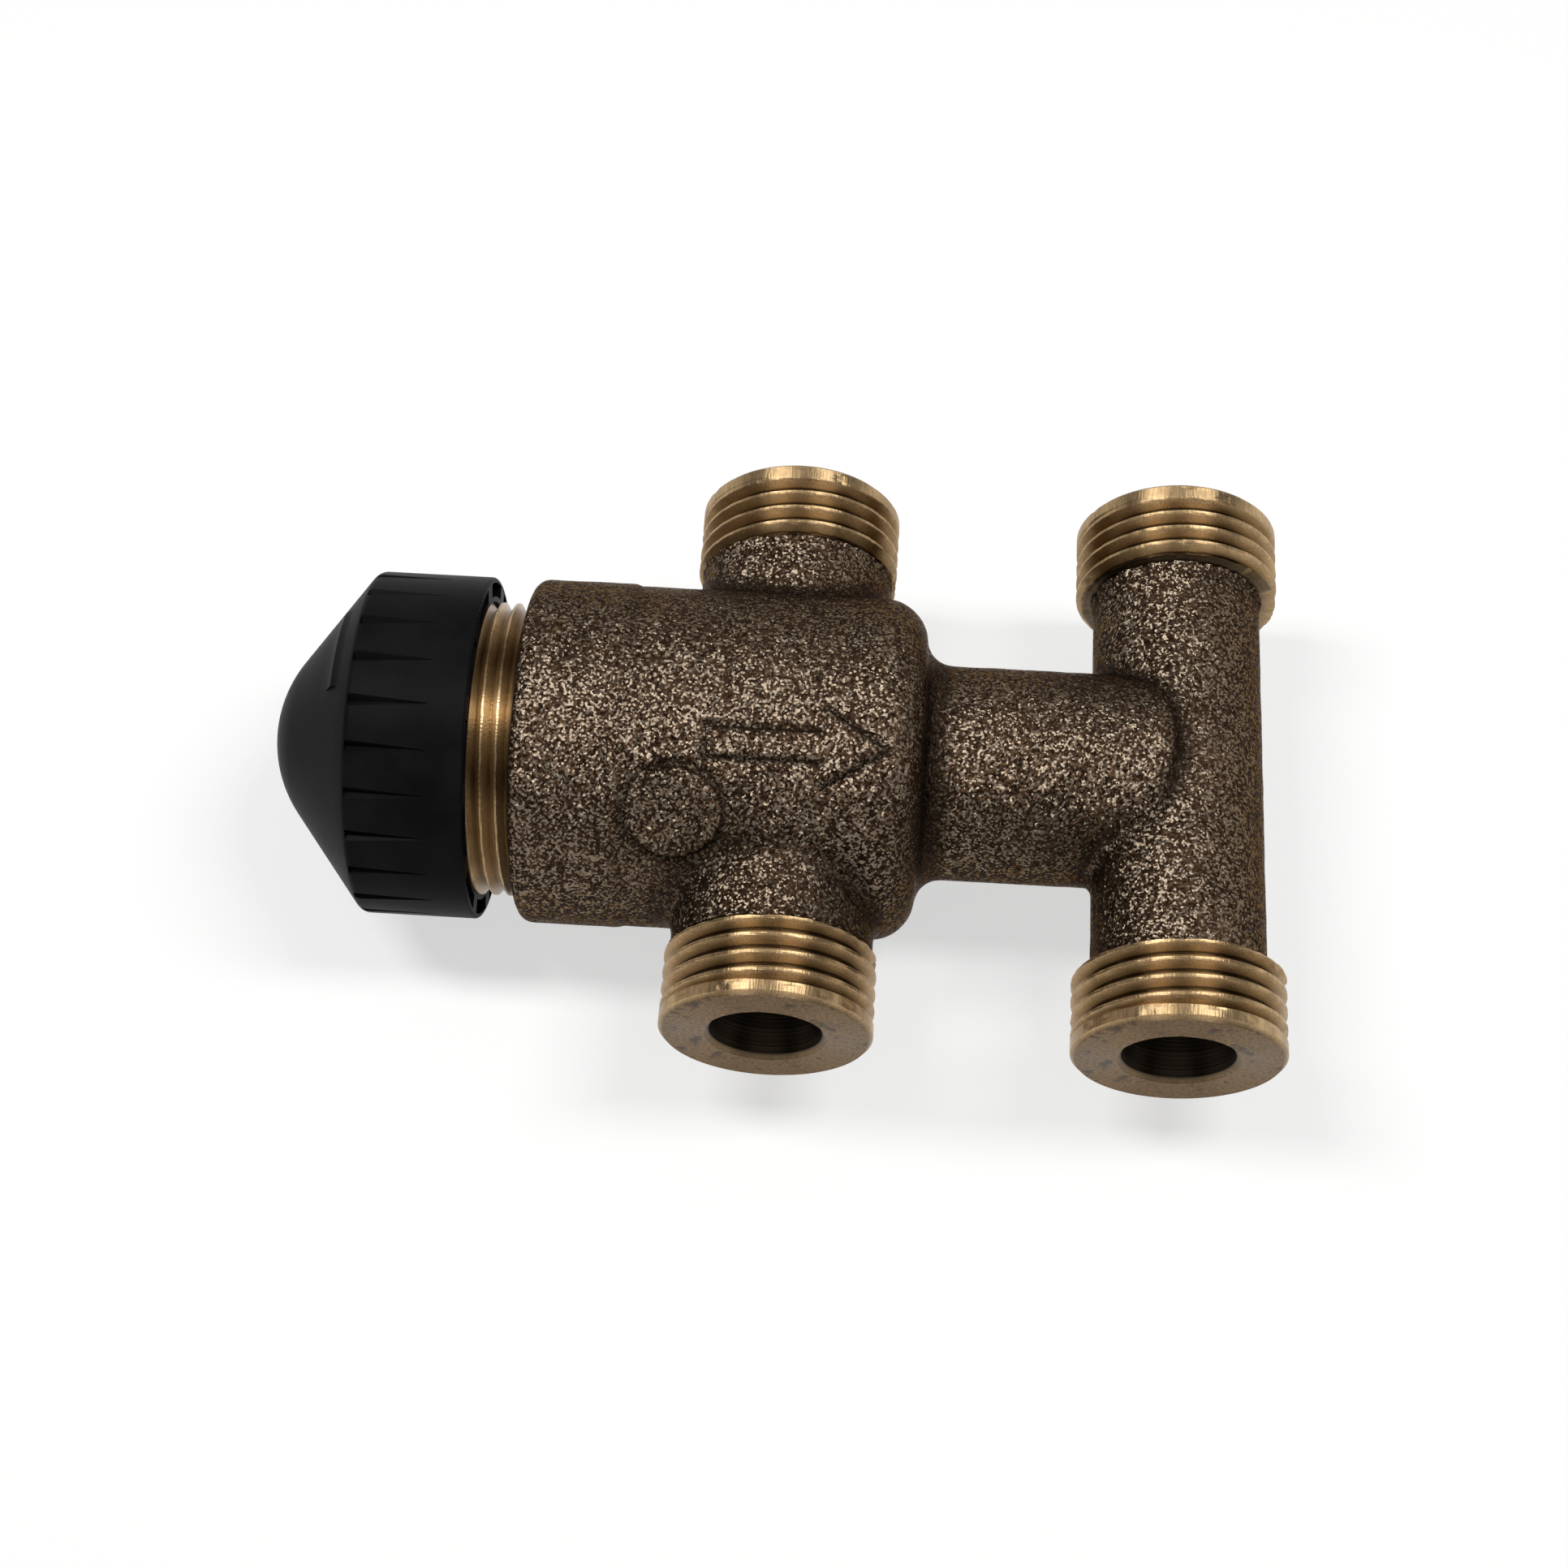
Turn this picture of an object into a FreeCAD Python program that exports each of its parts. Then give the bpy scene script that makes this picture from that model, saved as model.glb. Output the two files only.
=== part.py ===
import FreeCAD, Part
import math
import os
from types import SimpleNamespace
import Sketcher
from FreeCAD import Placement, Rotation, Vector

# A small four-port control valve, lying on its barrel. The origin is where the spindle
# axis crosses the axis of the barrel's two ports. +X runs along the spindle from the hand
# cap towards the tee, the ports point along -Y and +Y, and Z is up. Lengths are in mm.

SIZES = {
    # casting, outside
    "barrel_wall": 2.4,
    "mouth_collar_step": 0.2,
    "mouth_collar_length": 10.2,
    "mouth_reach": 26.2,
    "mouth_round": 1.5,
    "barrel_end_wall": 4.6,
    "barrel_shoulder_round": 4.5,
    "neck_wall": 3.0,
    "neck_root_round": 2.6,
    "neck_nose_inset": 1.3,
    "neck_nose_plan_dia": 28.0,
    "neck_nose_round": 1.2,
    "port_spacing": 40.0,
    "port_pipe_length": 4.25,
    "port_thread_dia": 20.955,
    "port_thread_length": 8.3,
    "port_thread_bevel": 0.7,
    "barrel_port_wall": 4.5,
    "barrel_port_round": 2.4,
    "tee_wall": 3.15,
    "tee_root_round": 1.5,
    "boss_dia": 9.1,
    "boss_step": 0.2,
    "boss_set_back": 9.95,
    "boss_turn": 45.7,
    # casting, inside
    "port_bore_dia": 11.1,
    "port_bore_bevel": 0.5,
    "mouth_bore_depth": 8.9,
    "seal_bore_dia": 26.4,
    "seal_bore_depth": 4.1,
    "upper_chamber_dia": 25.0,
    "upper_chamber_end": 7.4,
    "upper_web_height": 2.5,
    "upper_seat_bore_dia": 18.0,
    "middle_chamber_dia": 18.8,
    "partition_wall": 2.0,
    "riser_depth": 3.4,
    "riser_spread": 64.0,
    "lower_web_start": 5.6,
    "lower_web_height": 3.8,
    "lower_seat_bore_dia": 15.0,
    "neck_bore_dia": 16.0,
    "neck_bore_inset": 7.0,
    # bonnet and gland
    "bonnet_thread_dia": 30.0,
    "bonnet_stand": 9.4,
    "bonnet_thread_bevel": 1.0,
    "bonnet_undercut_width": 1.5,
    "bonnet_undercut_depth": 1.1,
    "bonnet_ring_groove_width": 2.4,
    "bonnet_ring_groove_depth": 1.5,
    "gland_recess_dia": 17.0,
    "gland_recess_depth": 2.0,
    "gland_thread_dia": 10.0,
    "gland_thread_length": 4.6,
    "gland_hex_across": 13.0,
    "gland_hex_height": 3.7,
    "gland_bore_dia": 7.6,
    "gland_lip_height": 4.0,
    "guide_web_height": 1.5,
    "spring_bore_dia": 12.4,
    "spring_base_height": 1.2,
    "base_clip_inset": 1.0,
    "base_clip_height": 0.8,
    "base_clip_groove_depth": 0.6,
    # spindle and plug
    "stem_dia": 4.0,
    "stem_stand": 4.7,
    "stem_tip_bevel": 0.5,
    "stem_collar_dia": 7.0,
    "stem_collar_height": 1.5,
    "stem_tail_length": 1.0,
    "stem_clip_dia": 7.4,
    "stem_clip_height": 0.6,
    "stem_clip_groove_depth": 0.5,
    "spring_cup_dia": 11.2,
    "spring_cup_height": 1.1,
    "spring_wire_dia": 1.0,
    "spring_mean_dia": 9.0,
    "spring_turns": 5.0,
    "plug_dia": 15.4,
    "plug_waist_dia": 11.0,
    "plug_lip_height": 0.8,
    "plug_lip_wall": 0.7,
    "plug_flange_height": 1.2,
    "plug_seal_height": 1.5,
    "plug_nut_across": 6.0,
    "plug_nut_height": 2.2,
    "travel": 2.5,
    # seats
    "upper_seat_orifice_dia": 11.6,
    "upper_seat_flange_dia": 20.4,
    "upper_seat_flange_height": 1.2,
    "upper_seat_nose_height": 0.6,
    "seat_nose_width": 0.8,
    "lower_seat_orifice_dia": 9.6,
    "lower_seat_rise": 1.0,
    "seat_gap": 0.05,
    # hand cap
    "cap_rim_gap": 4.2,
    "cap_grip_length": 11.5,
    "cap_cone_angle": 52.2,
    "cap_nose_radius": 13.2,
    "cap_wall": 2.0,
    "cap_rim_round": 0.35,
    "cap_shoulder_round": 1.0,
    "cap_thread_depth": 9.4,
    "cap_pusher_dia": 8.0,
    "cap_flute_width": 1.3,
    "cap_flute_depth": 0.8,
    "cap_flute_end_depth": 0.07,
    "cap_flute_length": 7.8,
    "cap_flute_count": 24,
    "cap_pocket_count": 12,
    "cap_pocket_turn": 22.0,
    "cap_pocket_depth": 5.0,
    "cap_pocket_width": 1.45,
    "cap_skirt_wall": 0.5,
    "cap_sleeve_wall": 0.5,
    "cap_crest_rise": 0.45,
    "cap_crest_start": 1.5,
    "cap_crest_length": 1.7,
    "cap_crest_spread": 38.0,
    "cap_crest_turn": 79.0,
    # fits, each on the radius
    "running_clearance": 0.05,
    "thread_clearance": 0.05,
    "ring_clearance": 0.03,
    "face_clearance": 0.1,
}


class Size:
    # a number together with the sheet expression that gives it
    def __init__(self, value, text):
        self.value = value
        self.text = text

    def __add__(self, other):
        return Size(self.value + number(other), f"({self.text} + {wording(other)})")

    def __sub__(self, other):
        return Size(self.value - number(other), f"({self.text} - {wording(other)})")

    def __mul__(self, other):
        return Size(self.value * number(other), f"({self.text} * {wording(other)})")

    def __truediv__(self, other):
        return Size(self.value / number(other), f"({self.text} / {wording(other)})")

    def __neg__(self):
        return Size(-self.value, f"(0 - {self.text})")


def number(item):
    return item.value if isinstance(item, Size) else item


def wording(item):
    return item.text if isinstance(item, Size) else f"{item}"


def sine(angle):
    return Size(math.sin(math.radians(angle.value)), f"sin({angle.text})")


def cosine(angle):
    return Size(math.cos(math.radians(angle.value)), f"cos({angle.text})")


def tangent(angle):
    return Size(math.tan(math.radians(angle.value)), f"tan({angle.text})")


def square_root(item):
    return Size(math.sqrt(item.value), f"sqrt({item.text})")


doc = FreeCAD.newDocument("ControlValve")
sheet = doc.addObject("Spreadsheet::Sheet", "dims")
for row, (name, value) in enumerate(SIZES.items(), start=1):
    sheet.set(f"A{row}", name)
    sheet.set(f"B{row}", str(value))
    sheet.setAlias(f"B{row}", name)
doc.recompute()
size = SimpleNamespace(**{name: Size(value, f"dims.{name}") for name, value in SIZES.items()})

# the sketcher's numbers for a sketch's own axes; its origin is the first axis's point 1
FIRST_AXIS, SECOND_AXIS = -1, -2

HEX_SIDE_COUNT = 6
HEX_HALF_TURN = Size(180 / HEX_SIDE_COUNT, f"{180 / HEX_SIDE_COUNT}")
CUT_OVERRUN = 1.0  # how far a cutting shape reaches past what it cuts
FLUTE_OVERRUN = 0.3  # the same for the flutes, which lie close together
TOUCHING = 1e-3  # a point this near a place counts as on it
EDGE_SAMPLES = (0.13, 0.5, 0.87)  # shares of an edge's length at which it is tested


def new_body(label):
    body = doc.addObject("PartDesign::Body", label)
    body.Label = label
    return body


def new_sketch(body, name, role="XY_Plane"):
    sketch = body.newObject("Sketcher::SketchObject", name)
    plane = next(item for item in body.Origin.OriginFeatures if item.Role == role)
    sketch.AttachmentSupport = [(plane, "")]
    sketch.MapMode = "FlatFace"
    return sketch


def constrain(sketch, *terms, amount=None):
    if amount is None:
        sketch.addConstraint(Sketcher.Constraint(*terms))
        return
    index = sketch.addConstraint(Sketcher.Constraint(*terms, number(amount)))
    if isinstance(amount, Size):
        sketch.setExpression(f"Constraints[{index}]", amount.text)


def pin_coordinate(sketch, geometry, end, amount, across):
    # across: the distance along the sketch's first axis, otherwise along its second
    if not isinstance(amount, Size) and amount == 0:
        constrain(sketch, "PointOnObject", geometry, end, SECOND_AXIS if across else FIRST_AXIS)
        return
    kind = "DistanceX" if across else "DistanceY"
    constrain(sketch, kind, FIRST_AXIS, 1, geometry, end, amount=amount)


def draw_outline(sketch, outline):
    # A closed outline from (first, second) corners. A corner with a third term starts an
    # arc to the next corner, turning left about a centre at that place on the first axis.
    corners = [(number(c[0]), number(c[1])) for c in outline]
    ends = []
    for index, corner in enumerate(outline):
        here = corners[index]
        there = corners[(index + 1) % len(corners)]
        if len(corner) == 2:
            line = Part.LineSegment(Vector(*here, 0), Vector(*there, 0))
            ends.append((sketch.addGeometry(line), 1, 2))
            continue
        centre = number(corner[2])
        radius = math.hypot(here[0] - centre, here[1])
        first = math.atan2(here[1], here[0] - centre)
        last = math.atan2(there[1], there[0] - centre)
        if last < first:
            last += math.tau
        circle = Part.Circle(Vector(centre, 0, 0), Vector(0, 0, 1), radius)
        ends.append((sketch.addGeometry(Part.ArcOfCircle(circle, first, last)), 1, 2))
    for index, corner in enumerate(outline):
        geometry, start, finish = ends[index]
        following = ends[(index + 1) % len(ends)]
        constrain(sketch, "Coincident", geometry, finish, following[0], following[1])
        after_arc = len(outline[index - 1]) == 3
        if not after_arc:
            pin_coordinate(sketch, geometry, start, corner[0], True)
        pin_coordinate(sketch, geometry, start, corner[1], False)
        if len(corner) == 3:
            pin_coordinate(sketch, geometry, 3, corner[2], True)
            pin_coordinate(sketch, geometry, 3, 0, False)


def turn(body, name, outline, cut=False, across=False, shift=None, sweep=None, tilt=None):
    # Turns an outline about the spindle axis, or about the port direction where across is
    # set, and with cut takes the turned shape away. Shift moves the axis along the spindle.
    # A sweep less than a full turn is centred on the outline's plane, which tilt turns
    # about the spindle axis, from the far port side up.
    sketch = new_sketch(body, name + "Outline")
    draw_outline(sketch, outline)
    if tilt is not None:
        sketch.AttachmentOffset = Placement(Vector(), Rotation(Vector(1, 0, 0), number(tilt)))
        sketch.setExpression("AttachmentOffset.Rotation.Angle", tilt.text)
    if shift is not None:
        sketch.AttachmentOffset = Placement(Vector(number(shift), 0, 0), Rotation())
        sketch.setExpression("AttachmentOffset.Base.x", shift.text)
    feature = body.newObject("PartDesign::Groove" if cut else "PartDesign::Revolution", name)
    feature.Profile = sketch
    feature.ReferenceAxis = (sketch, ["V_Axis" if across else "H_Axis"])
    if sweep is None:
        feature.Angle = 360
    else:
        feature.Midplane = True
        feature.setExpression("Angle", sweep.text)
    doc.recompute()
    return feature


def tube_outline(start, end, inner, outer):
    return [(start, inner), (end, inner), (end, outer), (start, outer)]


def edges_where(shape, test):
    names = []
    for index, edge in enumerate(shape.Edges, start=1):
        low, high = edge.ParameterRange
        points = [edge.valueAt(low + (high - low) * share) for share in EDGE_SAMPLES]
        if all(test(point) for point in points):
            names.append(f"Edge{index}")
    return names


def from_spindle(point):
    return math.hypot(point.y, point.z)


def from_port_axis(point, x_place):
    return math.hypot(point.x - x_place, point.z)


def near(first, second):
    return abs(first - number(second)) < TOUCHING


def ring_at(x_place, radius):
    return lambda point: near(point.x, x_place) and near(from_spindle(point), radius)


def dress(body, kind, name, amount, test):
    # rounds or bevels the edges whose points pass the test
    base = body.Tip
    names = edges_where(base.Shape, test)
    feature = body.newObject("PartDesign::" + kind, name)
    feature.Base = (base, names)
    feature.setExpression("Radius" if kind == "Fillet" else "Size", amount.text)
    doc.recompute()
    return feature


def spread_round(body, feature, count):
    pattern = body.newObject("PartDesign::PolarPattern", feature.Name + "Ring")
    pattern.Originals = [feature]
    axis = next(item for item in body.Origin.OriginFeatures if item.Role == "X_Axis")
    pattern.Axis = (axis, [""])
    pattern.Angle = 360
    pattern.setExpression("Occurrences", count.text)
    body.Tip = pattern
    doc.recompute()
    return pattern


# Radii that several pieces share
mouth_bore_radius = size.bonnet_thread_dia / 2 + size.thread_clearance
barrel_radius = mouth_bore_radius + size.barrel_wall
neck_radius = size.neck_bore_dia / 2 + size.neck_wall
cap_radius = mouth_bore_radius + size.cap_sleeve_wall + size.cap_pocket_width + size.cap_skirt_wall
running_stem_radius = size.stem_dia / 2 + size.running_clearance

# Places along the spindle that several pieces share, positive towards the tee
mouth_face = -size.mouth_reach
bonnet_seat = mouth_face + size.mouth_bore_depth
seal_bore_end = bonnet_seat + size.seal_bore_depth
upper_ledge = -size.upper_chamber_end
upper_web_end = upper_ledge + size.upper_web_height
upper_seat_nose = upper_web_end + size.upper_seat_nose_height
lower_seat_top = size.lower_web_start - size.lower_seat_rise
lower_web_end = size.lower_web_start + size.lower_web_height
bonnet_top = mouth_face - size.bonnet_stand
stem_tip = bonnet_top - size.stem_stand
gland_seat = bonnet_top + size.gland_recess_depth
guide_web_top = gland_seat + size.gland_thread_length
guide_web_end = guide_web_top + size.guide_web_height
base_clip_start = seal_bore_end - size.base_clip_inset - size.base_clip_height
spring_base_top = base_clip_start - size.spring_base_height
stem_clip_start = guide_web_end + size.face_clearance
spring_cup_top = stem_clip_start + size.stem_clip_height
spring_top = spring_cup_top + size.spring_cup_height
upper_seal_top = upper_seat_nose + size.seat_gap
plug_top = upper_seal_top + size.plug_seal_height
lower_seal_end = lower_seat_top - size.travel - size.seat_gap
plug_end = lower_seal_end - size.plug_seal_height
cap_rim = mouth_face - size.cap_rim_gap
cap_shoulder = cap_rim - size.cap_grip_length


def make_valve_body():
    body = new_body("valve_body")
    collar_radius = barrel_radius + size.mouth_collar_step
    collar_end = mouth_face + size.mouth_collar_length
    barrel_end = lower_web_end + size.barrel_end_wall
    nose_radius = size.neck_nose_plan_dia / 2
    nose_reach = size.port_spacing - size.neck_nose_inset
    nose_centre = nose_reach - nose_radius
    neck_trim = nose_reach + CUT_OVERRUN
    turn(body, "Barrel", [
        (mouth_face, 0), (neck_trim, 0), (neck_trim, neck_radius),
        (barrel_end, neck_radius), (barrel_end, barrel_radius),
        (collar_end, barrel_radius), (collar_end, collar_radius), (mouth_face, collar_radius)])
    dress(body, "Fillet", "ShoulderRound", size.barrel_shoulder_round,
          ring_at(barrel_end, barrel_radius))
    dress(body, "Fillet", "NeckRoot", size.neck_root_round, ring_at(barrel_end, neck_radius))
    dress(body, "Fillet", "MouthRound", size.mouth_round, ring_at(mouth_face, collar_radius))

    # the neck's far end is round in plan, where it runs out over the tee
    sketch = new_sketch(body, "NeckNoseOutline")
    side = neck_radius + CUT_OVERRUN / 2
    arc_start = nose_centre + square_root(nose_radius * nose_radius - side * side)
    draw_outline(sketch, [
        (arc_start, -side, nose_centre), (arc_start, side), (neck_trim + CUT_OVERRUN, side),
        (neck_trim + CUT_OVERRUN, -side)])
    nose = body.newObject("PartDesign::Pocket", "NeckNose")
    nose.Profile = sketch
    nose.Type = 1
    nose.Midplane = True
    doc.recompute()

    def on_nose_edge(point):
        plan = math.hypot(point.x - nose_centre.value, point.y)
        return near(plan, nose_radius) and near(from_spindle(point), neck_radius)
    dress(body, "Fillet", "NeckNoseRound", size.neck_nose_round, on_nose_edge)

    thread_radius = size.port_thread_dia / 2
    face_radius = thread_radius - size.port_thread_bevel
    thread_start = barrel_radius + size.port_pipe_length
    port_reach = thread_start + size.port_thread_length
    bevel_start = port_reach - size.port_thread_bevel

    def port_pipe(pipe_radius):
        return [
            (0, -port_reach), (face_radius, -port_reach), (thread_radius, -bevel_start),
            (thread_radius, -thread_start), (pipe_radius, -thread_start),
            (pipe_radius, thread_start), (thread_radius, thread_start),
            (thread_radius, bevel_start), (face_radius, port_reach), (0, port_reach)]
    port_bore = size.port_bore_dia / 2
    barrel_pipe_radius = port_bore + size.barrel_port_wall
    tee_pipe_radius = port_bore + size.tee_wall
    turn(body, "BarrelPorts", port_pipe(barrel_pipe_radius), across=True)

    thread_plane = thread_start.value - TOUCHING

    def on_port_root(point):
        return near(from_port_axis(point, 0), barrel_pipe_radius) and abs(point.y) < thread_plane
    dress(body, "Fillet", "BarrelPortRoots", size.barrel_port_round, on_port_root)
    turn(body, "TeePipe", port_pipe(tee_pipe_radius), across=True, shift=size.port_spacing)

    def on_tee_root(point):
        on_pipe = near(from_port_axis(point, size.port_spacing.value), tee_pipe_radius)
        return on_pipe and abs(point.y) < thread_plane and point.x < size.port_spacing.value
    dress(body, "Fillet", "TeeRoots", size.tee_root_round, on_tee_root)

    # round flat boss beside the near port
    sketch = new_sketch(body, "BossOutline")
    sketch.AttachmentOffset = Placement(Vector(), Rotation(Vector(1, 0, 0), size.boss_turn.value))
    sketch.setExpression("AttachmentOffset.Rotation.Angle", size.boss_turn.text)
    circle = sketch.addGeometry(Part.Circle(Vector(-size.boss_set_back.value, 0, 0),
                                            Vector(0, 0, 1), size.boss_dia.value / 2))
    constrain(sketch, "Diameter", circle, amount=size.boss_dia)
    pin_coordinate(sketch, circle, 3, -size.boss_set_back, True)
    pin_coordinate(sketch, circle, 3, 0, False)
    boss = body.newObject("PartDesign::Pad", "Boss")
    boss.Profile = sketch
    boss.setExpression("Length", (barrel_radius + size.boss_step).text)
    doc.recompute()

    # mouth, chambers, webs and the neck passage, all turned about the spindle axis
    neck_bore_end = size.port_spacing - size.neck_bore_inset
    turn(body, "Chambers", [
        (mouth_face, 0), (size.port_spacing, 0), (size.port_spacing, port_bore),
        (neck_bore_end, port_bore), (neck_bore_end, size.neck_bore_dia / 2),
        (lower_web_end, size.neck_bore_dia / 2), (lower_web_end, size.lower_seat_bore_dia / 2),
        (size.lower_web_start, size.lower_seat_bore_dia / 2),
        (size.lower_web_start, size.middle_chamber_dia / 2),
        (upper_web_end, size.middle_chamber_dia / 2),
        (upper_web_end, size.upper_seat_bore_dia / 2),
        (upper_ledge, size.upper_seat_bore_dia / 2),
        (upper_ledge, size.upper_chamber_dia / 2),
        (seal_bore_end, size.upper_chamber_dia / 2),
        (seal_bore_end, size.seal_bore_dia / 2),
        (bonnet_seat, size.seal_bore_dia / 2),
        (bonnet_seat, mouth_bore_radius), (mouth_face, mouth_bore_radius)], cut=True)

    # the riser that carries the near port's flow past the partition to the upper chamber
    riser_inner = size.middle_chamber_dia / 2 + size.partition_wall
    riser_outer = riser_inner + size.riser_depth
    turn(body, "Riser", tube_outline(seal_bore_end, port_bore, -riser_outer, -riser_inner),
         cut=True, sweep=size.riser_spread)

    # port bores
    bevel_radius = port_bore + size.port_bore_bevel
    bevel_depth = port_reach - size.port_bore_bevel
    turn(body, "NearPortBore", [
        (0, -port_reach), (bevel_radius, -port_reach), (port_bore, -bevel_depth),
        (port_bore, -riser_inner), (0, -riser_inner)], cut=True, across=True)
    turn(body, "FarPortBore", [
        (0, 0), (port_bore, 0), (port_bore, bevel_depth), (bevel_radius, port_reach),
        (0, port_reach)], cut=True, across=True)
    turn(body, "TeeBore", [
        (0, -port_reach), (bevel_radius, -port_reach), (port_bore, -bevel_depth),
        (port_bore, bevel_depth), (bevel_radius, port_reach), (0, port_reach)],
        cut=True, across=True, shift=size.port_spacing)
    return body


def make_seats():
    # the upper ring is screwed into its web from the mouth, the lower one pressed in
    upper = new_body("upper_seat_ring")
    orifice = size.upper_seat_orifice_dia / 2
    flange_top = upper_ledge - size.upper_seat_flange_height
    shank = size.upper_seat_bore_dia / 2 - size.ring_clearance
    nose_rim = orifice + size.seat_nose_width
    turn(upper, "Ring", [
        (flange_top, orifice), (flange_top, size.upper_seat_flange_dia / 2),
        (upper_ledge, size.upper_seat_flange_dia / 2), (upper_ledge, shank),
        (upper_web_end, shank), (upper_web_end, nose_rim), (upper_seat_nose, nose_rim),
        (upper_seat_nose, orifice)])

    lower = new_body("lower_seat_ring")
    orifice = size.lower_seat_orifice_dia / 2
    shank = size.lower_seat_bore_dia / 2 - size.ring_clearance
    flange = size.lower_seat_bore_dia / 2 + size.seat_nose_width
    slope_foot = lower_seat_top + size.lower_seat_rise / 2
    turn(lower, "Ring", [
        (lower_seat_top, orifice), (lower_seat_top, orifice + size.seat_nose_width),
        (slope_foot, flange), (size.lower_web_start, flange), (size.lower_web_start, shank),
        (lower_web_end, shank), (lower_web_end, orifice)])


def make_bonnet():
    body = new_body("bonnet")
    thread_radius = size.bonnet_thread_dia / 2
    undercut_radius = thread_radius - size.bonnet_undercut_depth
    undercut_start = mouth_face - size.bonnet_undercut_width
    spigot_radius = size.seal_bore_dia / 2 - size.running_clearance
    groove_radius = spigot_radius - size.bonnet_ring_groove_depth
    groove_mid = (bonnet_seat + seal_bore_end) / 2
    groove_start = groove_mid - size.bonnet_ring_groove_width / 2
    groove_end = groove_mid + size.bonnet_ring_groove_width / 2
    bevel = size.bonnet_thread_bevel
    gland_radius = size.gland_thread_dia / 2 + size.thread_clearance
    spring_radius = size.spring_bore_dia / 2
    clip_radius = spring_radius + size.base_clip_groove_depth
    clip_end = base_clip_start + size.base_clip_height
    turn(body, "Shell", [
        (bonnet_top, size.gland_recess_dia / 2), (bonnet_top, thread_radius - bevel),
        (bonnet_top + bevel, thread_radius), (undercut_start, thread_radius),
        (undercut_start, undercut_radius), (mouth_face, undercut_radius),
        (mouth_face, thread_radius), (bonnet_seat, thread_radius),
        (bonnet_seat, spigot_radius), (groove_start, spigot_radius),
        (groove_start, groove_radius), (groove_end, groove_radius), (groove_end, spigot_radius),
        (seal_bore_end, spigot_radius), (seal_bore_end, spring_radius), (clip_end, spring_radius),
        (clip_end, clip_radius), (base_clip_start, clip_radius), (base_clip_start, spring_radius),
        (guide_web_end, spring_radius), (guide_web_end, running_stem_radius),
        (guide_web_top, running_stem_radius), (guide_web_top, gland_radius),
        (gland_seat, gland_radius), (gland_seat, size.gland_recess_dia / 2)])

    ring_section = spigot_radius + size.running_clearance - groove_radius - size.ring_clearance * 2
    make_ring("bonnet_o_ring", groove_mid, size.seal_bore_dia / 2 - size.ring_clearance, ring_section)


def make_ring(label, middle, outer_radius, section):
    # a round-section sealing ring about the spindle axis
    ring = doc.addObject("Part::Torus", label)
    ring.Label = label
    ring.Placement = Placement(Vector(middle.value, 0, 0), Rotation(Vector(0, 1, 0), 90))
    ring.setExpression("Placement.Base.x", middle.text)
    ring.setExpression("Radius1", (outer_radius - section / 2).text)
    ring.setExpression("Radius2", (section / 2).text)
    return ring


def make_hexagon(body, name, start, across, height):
    # a six-sided prism about the spindle axis, growing towards the tee from its start
    sketch = new_sketch(body, name + "Outline", "YZ_Plane")
    sketch.AttachmentOffset = Placement(Vector(0, 0, start.value), Rotation())
    sketch.setExpression("AttachmentOffset.Base.z", start.text)
    corner_radius = across / 2 / cosine(HEX_HALF_TURN)
    corners = []
    for index in range(HEX_SIDE_COUNT):
        angle = HEX_HALF_TURN.value * (1 + 2 * index)
        corners.append((corner_radius * round(math.cos(math.radians(angle)), 12),
                        corner_radius * round(math.sin(math.radians(angle)), 12)))
    draw_outline(sketch, corners)
    pad = body.newObject("PartDesign::Pad", name)
    pad.Profile = sketch
    pad.setExpression("Length", height.text)
    doc.recompute()
    return pad


def make_gland():
    body = new_body("gland_nut")
    hex_top = gland_seat - size.gland_hex_height
    make_hexagon(body, "Hexagon", hex_top, size.gland_hex_across, size.gland_hex_height)
    shank = size.gland_thread_dia / 2
    turn(body, "Shank", tube_outline(gland_seat, guide_web_top, 0, shank))
    lip_end = hex_top + size.gland_lip_height
    turn(body, "Bore", [
        (hex_top, 0), (guide_web_top, 0), (guide_web_top, size.gland_bore_dia / 2),
        (lip_end, size.gland_bore_dia / 2), (lip_end, running_stem_radius),
        (hex_top, running_stem_radius)], cut=True)
    bevel_start = size.gland_hex_across / 2
    bevel_reach = bevel_start / cosine(HEX_HALF_TURN) + CUT_OVERRUN
    turn(body, "HexBevel", [
        (hex_top, bevel_start), (hex_top, bevel_reach),
        (hex_top + bevel_reach - bevel_start, bevel_reach)], cut=True)

    # two rings and a backing ring share the room under the gland's lip
    room = guide_web_top - lip_end
    gap = size.gland_bore_dia / 2 - size.stem_dia / 2
    section = gap - size.ring_clearance * 2
    outer = size.gland_bore_dia / 2 - size.ring_clearance
    make_ring("gland_o_ring_outer", lip_end + section / 2 + size.ring_clearance, outer, section)
    make_ring("gland_o_ring_inner", guide_web_top - section / 2 - size.ring_clearance, outer, section)
    backing = new_body("gland_backing_ring")
    start = lip_end + section + size.ring_clearance * 2
    end = lip_end + room - section - size.ring_clearance * 2
    turn(backing, "Ring", tube_outline(start, end, running_stem_radius, outer))


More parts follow.
